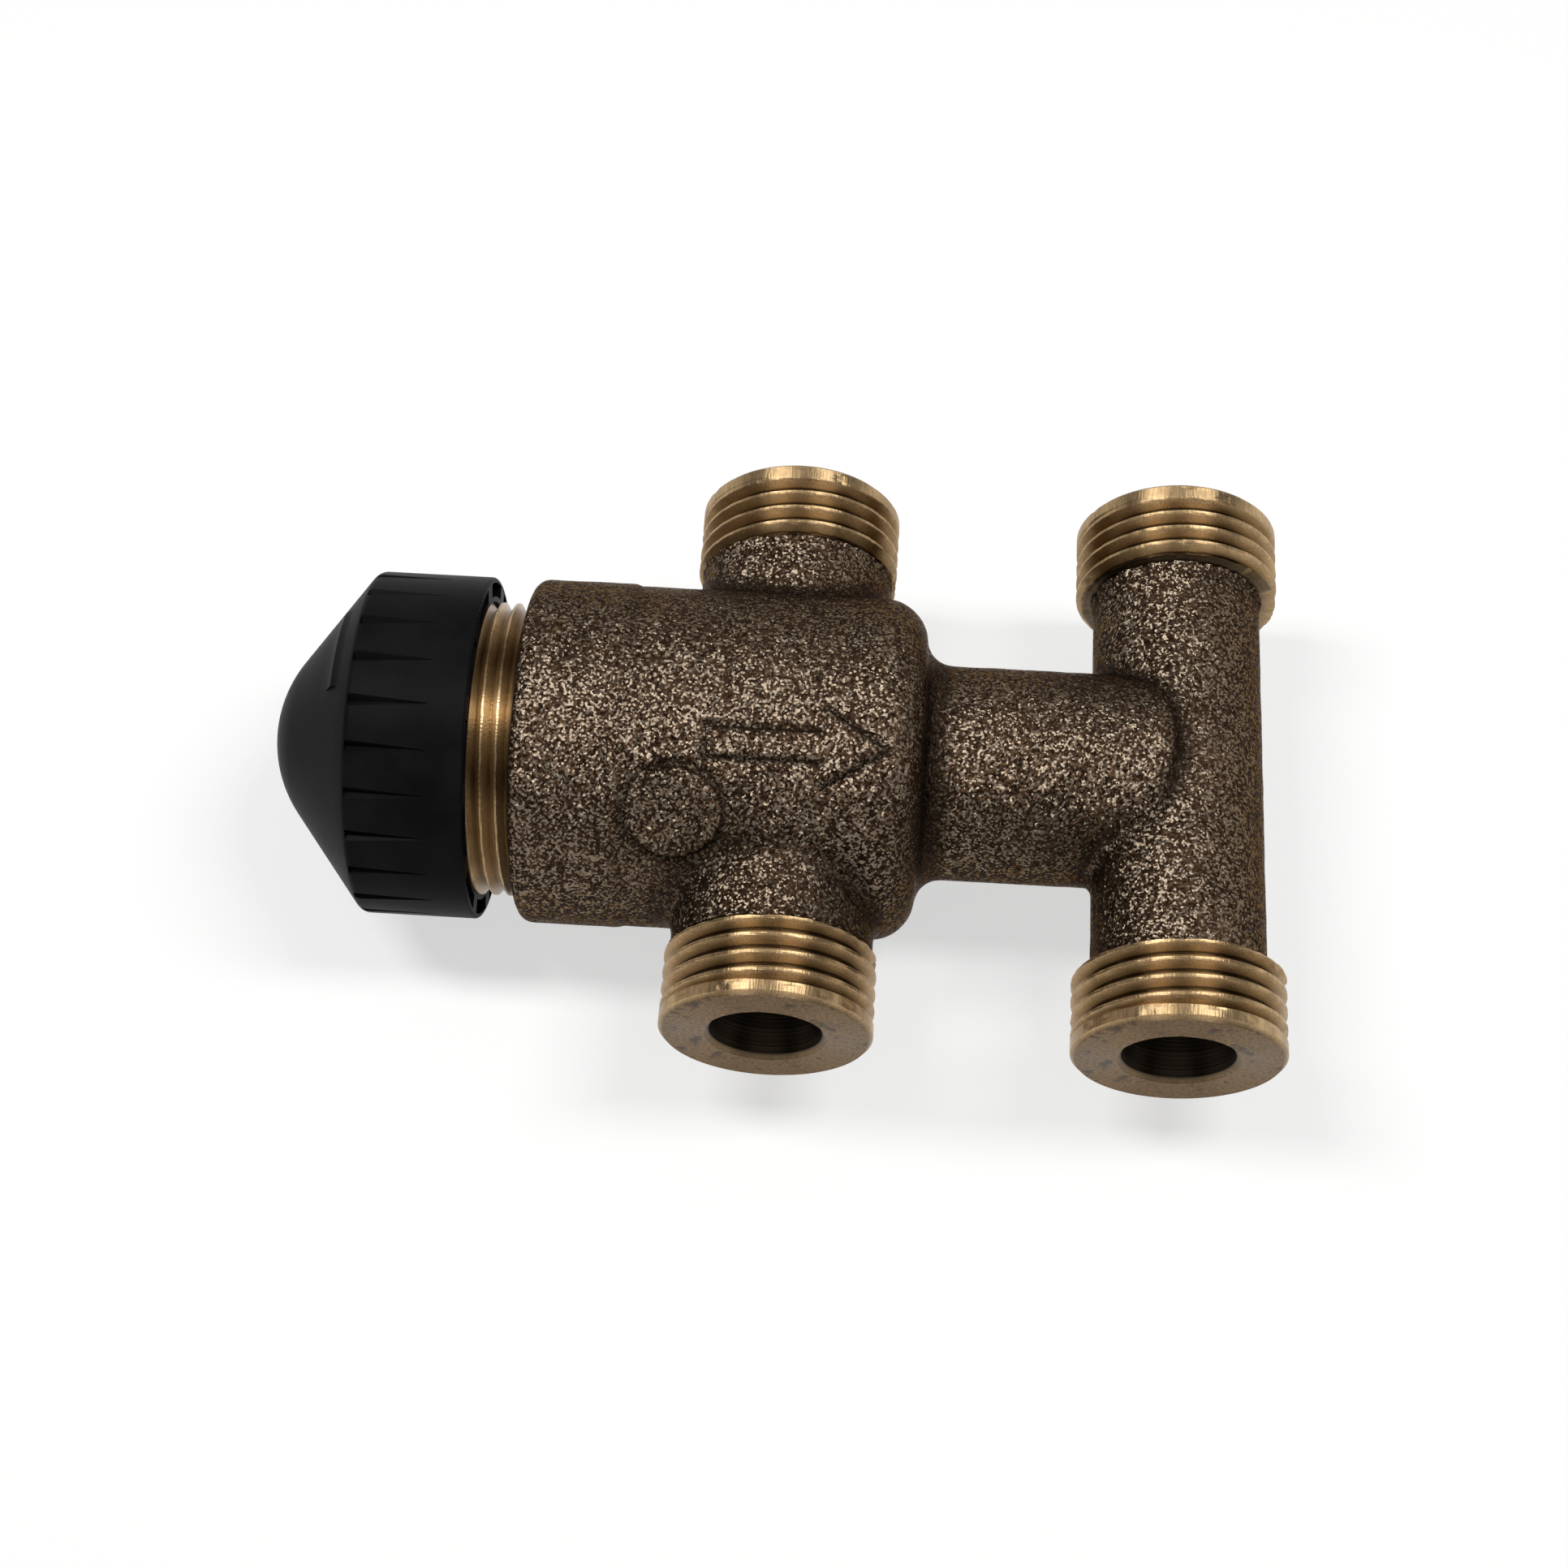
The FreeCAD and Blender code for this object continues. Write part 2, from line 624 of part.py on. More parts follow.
def make_spring_set():
    base = new_body("spring_base")
    spring_radius = size.spring_bore_dia / 2 - size.running_clearance
    stem_hole = size.stem_dia / 2 + size.face_clearance
    turn(base, "Disc", tube_outline(spring_base_top, base_clip_start, stem_hole, spring_radius))

    clip = new_body("spring_base_clip")
    clip_end = base_clip_start + size.base_clip_height
    clip_outer = size.spring_bore_dia / 2 + size.base_clip_groove_depth - size.ring_clearance
    clip_inner = spring_radius - size.base_clip_groove_depth * 2
    turn(clip, "Ring", tube_outline(base_clip_start, clip_end, clip_inner, clip_outer))

    cup = new_body("spring_cup")
    turn(cup, "Disc", tube_outline(spring_cup_top, spring_top, running_stem_radius,
                                   size.spring_cup_dia / 2))

    # the wire runs half a diameter past each seat and is ground flush with it
    wire = size.spring_wire_dia
    coil_height = spring_base_top - spring_top
    helix = doc.addObject("Part::Helix", "SpringPath")
    helix.setExpression("Radius", (size.spring_mean_dia / 2).text)
    helix.setExpression("Height", coil_height.text)
    helix.setExpression("Pitch", (coil_height / size.spring_turns).text)
    helix.Placement = Placement(Vector(spring_top.value, 0, 0), Rotation(Vector(0, 1, 0), 90))
    helix.setExpression("Placement.Base.x", spring_top.text)
    section = doc.addObject("Part::Circle", "SpringSection")
    section.setExpression("Radius", (wire / 2).text)
    section.Placement = Placement(Vector(spring_top.value, 0, -size.spring_mean_dia.value / 2),
                                  Rotation(Vector(1, 0, 0), 90))
    section.setExpression("Placement.Base.x", spring_top.text)
    section.setExpression("Placement.Base.z", (-size.spring_mean_dia / 2).text)
    wire_sweep = doc.addObject("Part::Sweep", "SpringWire")
    wire_sweep.Sections = [section]
    wire_sweep.Spine = helix
    wire_sweep.Solid = True
    wire_sweep.Frenet = True
    room = doc.addObject("Part::Cylinder", "SpringRoom")
    room.Placement = Placement(Vector(spring_top.value, 0, 0), Rotation(Vector(0, 1, 0), 90))
    room.setExpression("Placement.Base.x", spring_top.text)
    room.setExpression("Radius", (size.spring_bore_dia / 2).text)
    room.setExpression("Height", coil_height.text)
    spring = doc.addObject("Part::Common", "return_spring")
    spring.Label = "return_spring"
    spring.Base = wire_sweep
    spring.Tool = room


def make_stem():
    body = new_body("stem")
    radius = size.stem_dia / 2
    collar_start = upper_seal_top - size.stem_collar_height
    tail = lower_seal_end + size.plug_nut_height + size.stem_tail_length
    groove_radius = radius - size.stem_clip_groove_depth
    turn(body, "Shaft", [
        (stem_tip, 0), (stem_tip, radius - size.stem_tip_bevel),
        (stem_tip + size.stem_tip_bevel, radius),
        (stem_clip_start, radius), (stem_clip_start, groove_radius),
        (spring_cup_top, groove_radius), (spring_cup_top, radius), (collar_start, radius),
        (collar_start, size.stem_collar_dia / 2), (upper_seal_top, size.stem_collar_dia / 2),
        (upper_seal_top, radius), (tail - size.stem_tip_bevel, radius),
        (tail, radius - size.stem_tip_bevel), (tail, 0)])

    clip = new_body("stem_clip")
    turn(clip, "Ring", tube_outline(stem_clip_start, spring_cup_top,
                                    groove_radius + size.ring_clearance, size.stem_clip_dia / 2))


def make_plug():
    body = new_body("plug")
    hole = size.stem_dia / 2 + size.ring_clearance
    outer = size.plug_dia / 2
    waist = size.plug_waist_dia / 2
    lip_inner = outer - size.plug_lip_wall
    lip = size.plug_lip_height
    flange = size.plug_flange_height
    turn(body, "Spool", [
        (plug_top, hole), (plug_top, lip_inner), (plug_top - lip, lip_inner),
        (plug_top - lip, outer), (plug_top + flange, outer), (plug_top + flange, waist),
        (plug_end - flange, waist), (plug_end - flange, outer), (plug_end + lip, outer),
        (plug_end + lip, lip_inner), (plug_end, lip_inner), (plug_end, hole)])

    seal_radius = lip_inner - size.ring_clearance
    upper = new_body("upper_plug_seal")
    turn(upper, "Disc", tube_outline(upper_seal_top, plug_top, hole, seal_radius))
    lower = new_body("lower_plug_seal")
    turn(lower, "Disc", tube_outline(plug_end, lower_seal_end, hole, seal_radius))

    nut = new_body("plug_nut")
    nut_end = lower_seal_end + size.plug_nut_height
    make_hexagon(nut, "Hexagon", lower_seal_end, size.plug_nut_across, size.plug_nut_height)
    turn(nut, "Hole", tube_outline(lower_seal_end, nut_end, 0, hole), cut=True)


def make_hand_cap():
    body = new_body("hand_cap")
    slope = size.cap_cone_angle
    apex = cap_shoulder - cap_radius / tangent(slope)
    nose_centre = apex + size.cap_nose_radius / sine(slope)
    tip = nose_centre - size.cap_nose_radius
    nose_edge = nose_centre - size.cap_nose_radius * sine(slope)
    nose_edge_radius = size.cap_nose_radius * cosine(slope)
    turn(body, "Shell", [
        (cap_rim, cap_radius), (cap_shoulder, cap_radius),
        (nose_edge, nose_edge_radius, nose_centre), (tip, 0), (cap_rim, 0)])
    dress(body, "Fillet", "ShoulderRound", size.cap_shoulder_round,
          ring_at(cap_shoulder, cap_radius))
    dress(body, "Fillet", "RimRound", size.cap_rim_round, ring_at(cap_rim, cap_radius))

    # a low crest across part of the cone
    def on_cone(x_place, rise):
        return (x_place, (x_place - apex) * tangent(slope) + rise)
    crest_base = cap_shoulder - size.cap_crest_start
    crest_end = crest_base - size.cap_crest_length
    crest_root = -size.cap_wall / 2
    crest_edge = -size.cap_crest_rise / 4
    turn(body, "Crest", [
        on_cone(crest_base, crest_root), on_cone(crest_base, crest_edge),
        on_cone((crest_base + crest_end) / 2, size.cap_crest_rise),
        on_cone(crest_end, crest_edge), on_cone(crest_end, crest_root)],
        sweep=size.cap_crest_spread, tilt=size.cap_crest_turn)

    # inside: the threaded skirt, the hollow cone and the pusher that bears on the stem
    thread_end = cap_rim - size.cap_thread_depth
    inner_apex = apex + size.cap_wall / sine(slope)
    hollow_radius = mouth_bore_radius - size.cap_wall / 2
    cone_start = inner_apex + hollow_radius / tangent(slope)
    pusher_radius = size.cap_pusher_dia / 2
    cone_end_radius = pusher_radius + size.cap_wall / 2
    pusher_root = inner_apex + cone_end_radius / tangent(slope)
    pusher_face = stem_tip - size.face_clearance
    turn(body, "Hollow", [
        (cap_rim, 0), (pusher_face, 0), (pusher_face, pusher_radius), (pusher_root, pusher_radius),
        (pusher_root, cone_end_radius), (cone_start, hollow_radius), (thread_end, hollow_radius),
        (thread_end, mouth_bore_radius), (cap_rim, mouth_bore_radius)], cut=True)

    # the skirt is double, with pockets between the thin outer wall and the threaded sleeve
    pocket_inner = mouth_bore_radius + size.cap_sleeve_wall
    pocket_outer = pocket_inner + size.cap_pocket_width
    pocket_end = cap_rim - size.cap_pocket_depth
    pocket = turn(body, "RimPocket", tube_outline(pocket_end, cap_rim, pocket_inner, pocket_outer),
                  cut=True, sweep=size.cap_pocket_turn)
    spread_round(body, pocket, size.cap_pocket_count)

    # grip flutes: V grooves, deepest at the shoulder and running out towards the rim
    flute_end = cap_shoulder + size.cap_flute_length
    root = flute_section(body, "FluteRoot", cap_shoulder, size.cap_flute_depth)
    fade = flute_section(body, "FluteFade", flute_end, size.cap_flute_end_depth)
    flute = body.newObject("PartDesign::SubtractiveLoft", "Flute")
    flute.Profile = root
    flute.Sections = [fade]
    flute.Ruled = True
    doc.recompute()
    spread_round(body, flute, size.cap_flute_count)
    return body


def flute_section(body, name, x_place, depth):
    # a triangle across the grip, its point below the surface and its base just above it
    sketch = new_sketch(body, name, "YZ_Plane")
    sketch.AttachmentOffset = Placement(Vector(0, 0, x_place.value), Rotation())
    sketch.setExpression("AttachmentOffset.Base.z", x_place.text)
    slant = size.cap_flute_width / 2 / size.cap_flute_depth
    half_width = (depth + FLUTE_OVERRUN) * slant
    draw_outline(sketch, [
        (0, cap_radius - depth), (half_width, cap_radius + FLUTE_OVERRUN),
        (-half_width, cap_radius + FLUTE_OVERRUN)])
    return sketch


make_valve_body()
make_seats()
make_bonnet()
make_gland()
make_spring_set()
make_stem()
make_plug()
make_hand_cap()
doc.recompute()

NODES = [
    "valve_body", "upper_seat_ring", "lower_seat_ring", "bonnet", "bonnet_o_ring", "gland_nut",
    "gland_o_ring_outer", "gland_o_ring_inner", "gland_backing_ring", "spring_base",
    "spring_base_clip", "return_spring", "spring_cup", "stem", "stem_clip", "plug",
    "upper_plug_seal", "lower_plug_seal", "plug_nut", "hand_cap",
]

for item in doc.Objects:
    faults = [state for state in item.State if state in ("Invalid", "Error")]
    if faults:
        raise RuntimeError(f"{item.Name} is {faults}")

os.makedirs("parts", exist_ok=True)
for node in NODES:
    shape = doc.getObject(node).Shape
    if shape.isNull() or not shape.isValid() or not shape.Solids:
        raise RuntimeError(f"{node} has no valid solid")
    box = shape.BoundBox
    print(f"{node}: {len(shape.Solids)} solid, {shape.Volume:.1f} mm3, "
          f"x {box.XMin:.2f} to {box.XMax:.2f}, y {box.YMin:.2f} to {box.YMax:.2f}, "
          f"z {box.ZMin:.2f} to {box.ZMax:.2f}")
    shape.exportStep(f"parts/{node}.step")
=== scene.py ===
# A small cast control valve on a pale floor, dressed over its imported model.
import math

import bmesh
import bpy
import numpy as np
from mathutils import Matrix, Vector, noise


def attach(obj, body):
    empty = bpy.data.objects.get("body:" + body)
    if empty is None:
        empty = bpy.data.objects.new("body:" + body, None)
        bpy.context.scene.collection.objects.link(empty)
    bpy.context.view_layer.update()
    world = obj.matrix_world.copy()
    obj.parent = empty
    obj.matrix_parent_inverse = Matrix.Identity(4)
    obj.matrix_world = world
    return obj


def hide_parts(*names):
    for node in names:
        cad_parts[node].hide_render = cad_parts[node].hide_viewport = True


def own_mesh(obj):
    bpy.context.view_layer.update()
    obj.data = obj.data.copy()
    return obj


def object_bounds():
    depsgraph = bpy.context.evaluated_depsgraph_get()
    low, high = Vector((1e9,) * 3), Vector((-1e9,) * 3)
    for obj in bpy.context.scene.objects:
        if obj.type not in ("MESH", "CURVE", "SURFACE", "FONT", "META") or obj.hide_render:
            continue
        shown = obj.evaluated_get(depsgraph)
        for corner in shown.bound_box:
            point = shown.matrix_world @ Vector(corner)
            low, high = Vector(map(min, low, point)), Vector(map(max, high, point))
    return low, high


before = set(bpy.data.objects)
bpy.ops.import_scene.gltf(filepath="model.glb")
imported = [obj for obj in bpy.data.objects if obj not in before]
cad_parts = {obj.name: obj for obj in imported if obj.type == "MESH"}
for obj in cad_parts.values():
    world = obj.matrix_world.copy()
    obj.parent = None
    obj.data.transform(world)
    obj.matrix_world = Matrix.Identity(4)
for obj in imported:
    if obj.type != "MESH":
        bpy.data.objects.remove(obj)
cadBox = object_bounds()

mm = 0.001

# places along the spindle and off it, in millimetres, as the solids have them
places = {
    "mouthFace": -26.2,
    "threadStart": 21.7,
    "portFace": 30.0,
    "portSpacing": 40.0,
    "barrelRadius": 17.45,
    "portBore": 5.55,
}


# Materials

def newMaterial(name, **settings):
    material = bpy.data.materials.new(name)
    material.use_nodes = True
    shader = material.node_tree.nodes["Principled BSDF"]
    for socket, value in settings.items():
        shader.inputs[socket.replace("_", " ")].default_value = value
    return material, material.node_tree, shader


def addNode(tree, kind, inputs=None, **settings):
    node = tree.nodes.new(kind)
    for name, value in settings.items():
        setattr(node, name, value)
    for name, value in (inputs or {}).items():
        if isinstance(value, bpy.types.NodeSocket):
            tree.links.new(value, node.inputs[name])
        else:
            node.inputs[name].default_value = value
    return node


def colourRamp(tree, factor, stops):
    ramp = addNode(tree, "ShaderNodeValToRGB", {"Fac": factor})
    while len(ramp.color_ramp.elements) < len(stops):
        ramp.color_ramp.elements.new(0.5)
    for element, (place, colour) in zip(ramp.color_ramp.elements, stops):
        element.position = place
        element.color = (*colour, 1)
    return ramp.outputs["Color"]


def mathNode(tree, operation, first, second=0.5, clamp=False):
    node = addNode(tree, "ShaderNodeMath", {0: first, 1: second}, operation=operation, use_clamp=clamp)
    return node.outputs[0]


def mixColours(tree, share, first, second):
    node = addNode(tree, "ShaderNodeMix", {"Factor": share}, data_type="RGBA")
    for socket, colour in ((node.inputs[6], first), (node.inputs[7], second)):
        if isinstance(colour, bpy.types.NodeSocket):
            tree.links.new(colour, socket)
        else:
            socket.default_value = (*colour, 1)
    return node.outputs[2]


def remap(tree, value, low, high, toLow=0.0, toHigh=1.0):
    node = addNode(tree, "ShaderNodeMapRange", {
        "Value": value, "From Min": low, "From Max": high, "To Min": toLow, "To Max": toHigh})
    return node.outputs["Result"]


castLook = {
    "grainSize": 0.215,      # mm, one facet left by the shot
    "facetLean": 0.72,       # how far a facet leans
    "sparkleShare": 0.36,    # of all facets
    "sparkleColour": (0.290, 0.231, 0.170),
    "sparkleCover": 0.75,    # of the grain's colour under a sparkle
    "sparkleRoughness": 0.23,
    "creaseShadeColour": (0.0070, 0.0042, 0.0025),
    "grazingTint": (0.34, 0.25, 0.17, 1),
    "grainAndPitShadeStops": [          # place in the noise, colour; the low end lies deep in the pits, so the dark stops are painted shade in the pits as well as the grain's own tone
        (0.34, (0.0055, 0.0027, 0.0013)), (0.47, (0.026, 0.0148, 0.0084)),
        (0.60, (0.056, 0.0325, 0.0185)), (0.74, (0.112, 0.067, 0.039))],
    "pitScale": 0.55,        # of the facets' scale
    "pitDepth": 0.12,        # mm
    "patchSize": 5.0,        # mm, slow change of tone
}


def makeCastBronze():
    look = castLook
    material, tree, shader = newMaterial("castBronze", Specular_Tint=look["grazingTint"])
    place = addNode(tree, "ShaderNodeTexCoord").outputs["Object"]
    perMetre = 1000 / look["grainSize"]
    facets = addNode(tree, "ShaderNodeTexVoronoi", {"Vector": place, "Scale": perMetre}, feature="F1")
    pits = addNode(tree, "ShaderNodeTexNoise", {
        "Vector": place, "Scale": perMetre * look["pitScale"], "Detail": 5.0, "Roughness": 0.62})
    patches = addNode(tree, "ShaderNodeTexNoise", {
        "Vector": place, "Scale": 1000 / look["patchSize"], "Detail": 3.0, "Roughness": 0.55})
    channels = addNode(tree, "ShaderNodeSeparateColor", {"Color": facets.outputs["Color"]})
    sparkle = mathNode(tree, "GREATER_THAN", channels.outputs["Red"], 1 - look["sparkleShare"])

    # painted shade in the pits, with the grain's own tone: the colour darkens where the pit noise, which
    # also sets the bump, is low
    grain = colourRamp(tree, pits.outputs["Fac"], look["grainAndPitShadeStops"])
    toneShift = remap(tree, patches.outputs["Fac"], 0.3, 0.7, 0.75, 1.25)
    facetShift = remap(tree, channels.outputs["Green"], 0.0, 1.0, 0.5, 1.5)
    brightness = mathNode(tree, "MULTIPLY", toneShift, facetShift)
    toned = addNode(tree, "ShaderNodeVectorMath", {0: grain, 1: brightness}, operation="MULTIPLY")
    cover = mathNode(tree, "MULTIPLY", sparkle, look["sparkleCover"])
    colour = mixColours(tree, cover, toned.outputs[0], look["sparkleColour"])
    # painted shade: the colour goes dark in the creases round the raised marks and in the hollows
    shadedCrease = addNode(tree, "ShaderNodeAttribute", attribute_name="shadedCrease").outputs["Fac"]
    tree.links.new(mixColours(tree, shadedCrease, colour, look["creaseShadeColour"]), shader.inputs["Base Color"])
    tree.links.new(remap(tree, sparkle, 0.0, 1.0, 0.75, 1.0), shader.inputs["Metallic"])
    dull = remap(tree, pits.outputs["Fac"], 0.35, 0.7, 0.52, 0.36)
    roughness = addNode(tree, "ShaderNodeMix", {
        "Factor": sparkle, "A": dull, "B": look["sparkleRoughness"]})
    tree.links.new(roughness.outputs["Result"], shader.inputs["Roughness"])

    # each facet leans its own way, over pits and dents
    lean = addNode(tree, "ShaderNodeVectorMath", {
        0: facets.outputs["Color"], 1: (-0.5, -0.5, -0.5)}, operation="ADD")
    leanScaled = addNode(tree, "ShaderNodeVectorMath", {
        0: lean.outputs[0], "Scale": look["facetLean"]}, operation="SCALE")
    surface = addNode(tree, "ShaderNodeNewGeometry")
    leaning = addNode(tree, "ShaderNodeVectorMath", {
        0: surface.outputs["Normal"], 1: leanScaled.outputs[0]}, operation="ADD")
    facetNormal = addNode(tree, "ShaderNodeVectorMath", {0: leaning.outputs[0]}, operation="NORMALIZE")
    bump = addNode(tree, "ShaderNodeBump", {
        "Height": pits.outputs["Fac"], "Strength": 1.0, "Distance": look["pitDepth"] * mm,
        "Normal": facetNormal.outputs[0]})
    tree.links.new(bump.outputs["Normal"], shader.inputs["Normal"])
    return material


latheLook = {
    "lineSpacing": 0.10,    # mm between the tool's rings
    "chatterSize": 0.20,    # mm, short marks across the rings
    "lineDepth": 0.014,     # mm
    "grooveShade": 1.0,     # mm below the crest at which the painted shade in a groove is full
    "crestColour": (0.44, 0.300, 0.157),
    "grooveShadeColour": (0.27, 0.163, 0.063),
    "faceColour": (0.215, 0.146, 0.083),
    "stainColour": (0.075, 0.062, 0.050),
    "rootShadeColour": (0.045, 0.026, 0.011),
    # painted shade: the colour inside the bores, under the rings' lips and at the neck's mouth
    "boreShadeColour": (0.060, 0.045, 0.030),
}


def makeTurnedBrass():
    # reads the piece's own attributes: lathe is its place on the lathe in millimetres, worked holds
    # the depth under the crest, which sets the painted shade in the grooves, and the shares of sawn
    # face and of painted shade in the bore, under the lip and at the mouth, around is the way of the cut
    look = latheLook
    material, tree, shader = newMaterial("turnedBrass", Metallic=1.0, Anisotropic=0.95,
                                         Anisotropic_Rotation=0.25)
    lathe = addNode(tree, "ShaderNodeAttribute", attribute_name="lathe").outputs["Vector"]
    worked = addNode(tree, "ShaderNodeAttribute", attribute_name="worked").outputs["Vector"]
    around = addNode(tree, "ShaderNodeAttribute", attribute_name="around").outputs["Vector"]
    tree.links.new(around, shader.inputs["Tangent"])
    depth, face, bore = addNode(tree, "ShaderNodeSeparateXYZ", {"Vector": worked}).outputs
    x, y, along = addNode(tree, "ShaderNodeSeparateXYZ", {"Vector": lathe}).outputs
    radius = mathNode(tree, "SQRT", mathNode(tree, "ADD", mathNode(tree, "MULTIPLY", x, x),
                                             mathNode(tree, "MULTIPLY", y, y)))
    ringPlace = addNode(tree, "ShaderNodeCombineXYZ", {
        "X": mathNode(tree, "DIVIDE", radius, look["lineSpacing"]),
        "Y": mathNode(tree, "DIVIDE", along, look["lineSpacing"])})
    rings = addNode(tree, "ShaderNodeTexNoise", {
        "Vector": ringPlace.outputs[0], "Scale": 1.0, "Detail": 2.0, "Roughness": 0.6}).outputs["Fac"]
    marksPlace = addNode(tree, "ShaderNodeMapping", {
        "Vector": lathe, "Scale": (1 / look["chatterSize"], 1 / look["chatterSize"], 0.5)})
    chatter = addNode(tree, "ShaderNodeTexNoise", {
        "Vector": marksPlace.outputs[0], "Scale": 1.0, "Detail": 2.0}).outputs["Fac"]
    clouds = addNode(tree, "ShaderNodeTexNoise", {
        "Vector": lathe, "Scale": 0.42, "Detail": 5.0, "Roughness": 0.6}).outputs["Fac"]

    worn = mathNode(tree, "MULTIPLY", remap(tree, clouds, 0.3, 0.7, 0.72, 1.25),
                    remap(tree, chatter, 0.3, 0.7, 0.75, 1.25))
    crest = addNode(tree, "ShaderNodeVectorMath", {
        0: look["crestColour"], "Scale": worn}, operation="SCALE")
    # painted shade in the thread: the colour darkens with depth under the crest, to near black at the roots
    groove = remap(tree, depth, 0.02, look["grooveShade"])
    flank = mixColours(tree, groove, crest.outputs[0], look["grooveShadeColour"])
    turned = mixColours(tree, remap(tree, depth, 0.86, 1.0), flank, look["rootShadeColour"])
    specks = addNode(tree, "ShaderNodeTexNoise", {
        "Vector": lathe, "Scale": 2.6, "Detail": 6.0, "Roughness": 0.7}).outputs["Fac"]
    mottled = mathNode(tree, "MULTIPLY", remap(tree, rings, 0.25, 0.75, 0.75, 1.25),
                       remap(tree, specks, 0.35, 0.65, 0.65, 1.4))
    matt = addNode(tree, "ShaderNodeVectorMath", {
        0: look["faceColour"], "Scale": mottled}, operation="SCALE")
    stained = mixColours(tree, remap(tree, clouds, 0.57, 0.64, 0.0, 0.8), matt.outputs[0],
                         look["stainColour"])
    outside = mixColours(tree, face, turned, stained)
    # painted shade in the bore, under the lip and at the neck's mouth, with random rings
    boreRings = addNode(tree, "ShaderNodeVectorMath", {
        0: look["boreShadeColour"], "Scale": remap(tree, rings, 0.3, 0.7, 0.3, 1.7)}, operation="SCALE")
    tree.links.new(mixColours(tree, bore, outside, boreRings.outputs[0]), shader.inputs["Base Color"])
    sheen = mathNode(tree, "ADD", remap(tree, rings, 0.3, 0.7, 0.32, 0.42),
                     mathNode(tree, "MULTIPLY", groove, 0.04))
    tree.links.new(mathNode(tree, "ADD", sheen, mathNode(tree, "MULTIPLY", face, 0.16)),
                   shader.inputs["Roughness"])
    height = mathNode(tree, "ADD", rings, mathNode(tree, "MULTIPLY", chatter, 1.6))
    bump = addNode(tree, "ShaderNodeBump", {
        "Height": height, "Strength": 1.0, "Distance": look["lineDepth"] * mm})
    tree.links.new(bump.outputs["Normal"], shader.inputs["Normal"])
    return material


def makeInnerBrass():
    material, tree, shader = newMaterial("innerBrass", Metallic=1.0)
    place = addNode(tree, "ShaderNodeTexCoord").outputs["Object"]
    mapping = addNode(tree, "ShaderNodeMapping", {"Vector": place, "Scale": (9000, 300, 300)})
    lines = addNode(tree, "ShaderNodeTexNoise", {"Vector": mapping.outputs[0], "Scale": 1.0, "Detail": 3.0})
    colour = colourRamp(tree, lines.outputs["Fac"], [
        (0.35, (0.50, 0.33, 0.15)), (0.65, (0.72, 0.51, 0.26))])
    tree.links.new(colour, shader.inputs["Base Color"])
    tree.links.new(remap(tree, lines.outputs["Fac"], 0.3, 0.7, 0.22, 0.38), shader.inputs["Roughness"])
    bump = addNode(tree, "ShaderNodeBump", {
        "Height": lines.outputs["Fac"], "Strength": 0.4, "Distance": 0.01 * mm})
    tree.links.new(bump.outputs["Normal"], shader.inputs["Normal"])
    return material


def makeStainlessSteel():
    material, tree, shader = newMaterial("stainlessSteel", Metallic=1.0)
    place = addNode(tree, "ShaderNodeTexCoord").outputs["Object"]
    mapping = addNode(tree, "ShaderNodeMapping", {"Vector": place, "Scale": (7000, 500, 500)})
    grain = addNode(tree, "ShaderNodeTexNoise", {"Vector": mapping.outputs[0], "Scale": 1.0, "Detail": 2.0})
    colour = colourRamp(tree, grain.outputs["Fac"], [
        (0.3, (0.42, 0.41, 0.40)), (0.7, (0.60, 0.59, 0.57))])
    tree.links.new(colour, shader.inputs["Base Color"])
    tree.links.new(remap(tree, grain.outputs["Fac"], 0.3, 0.7, 0.18, 0.32), shader.inputs["Roughness"])
    return material


def makeSealRubber():
    material, tree, shader = newMaterial("sealRubber")
    place = addNode(tree, "ShaderNodeTexCoord").outputs["Object"]
    bloom = addNode(tree, "ShaderNodeTexNoise", {"Vector": place, "Scale": 900.0, "Detail": 4.0})
    colour = colourRamp(tree, bloom.outputs["Fac"], [
        (0.35, (0.012, 0.012, 0.013)), (0.7, (0.034, 0.034, 0.036))])
    tree.links.new(colour, shader.inputs["Base Color"])
    tree.links.new(remap(tree, bloom.outputs["Fac"], 0.3, 0.7, 0.55, 0.75), shader.inputs["Roughness"])
    return material


def makeWhitePlastic():
    material, tree, shader = newMaterial("whitePlastic", Roughness=0.35)
    place = addNode(tree, "ShaderNodeTexCoord").outputs["Object"]
    cloud = addNode(tree, "ShaderNodeTexNoise", {"Vector": place, "Scale": 700.0, "Detail": 2.0})
    colour = colourRamp(tree, cloud.outputs["Fac"], [
        (0.3, (0.72, 0.71, 0.68)), (0.7, (0.80, 0.79, 0.77))])
    tree.links.new(colour, shader.inputs["Base Color"])
    return material


capLook = {
    "mouldGrain": 0.16,     # mm
    "grainDepth": 0.024,    # mm
    "shine": 0.055,
    "bodyColour": (0.0042, 0.0043, 0.0046),
    "dustColour": (0.0095, 0.0095, 0.0100),
}


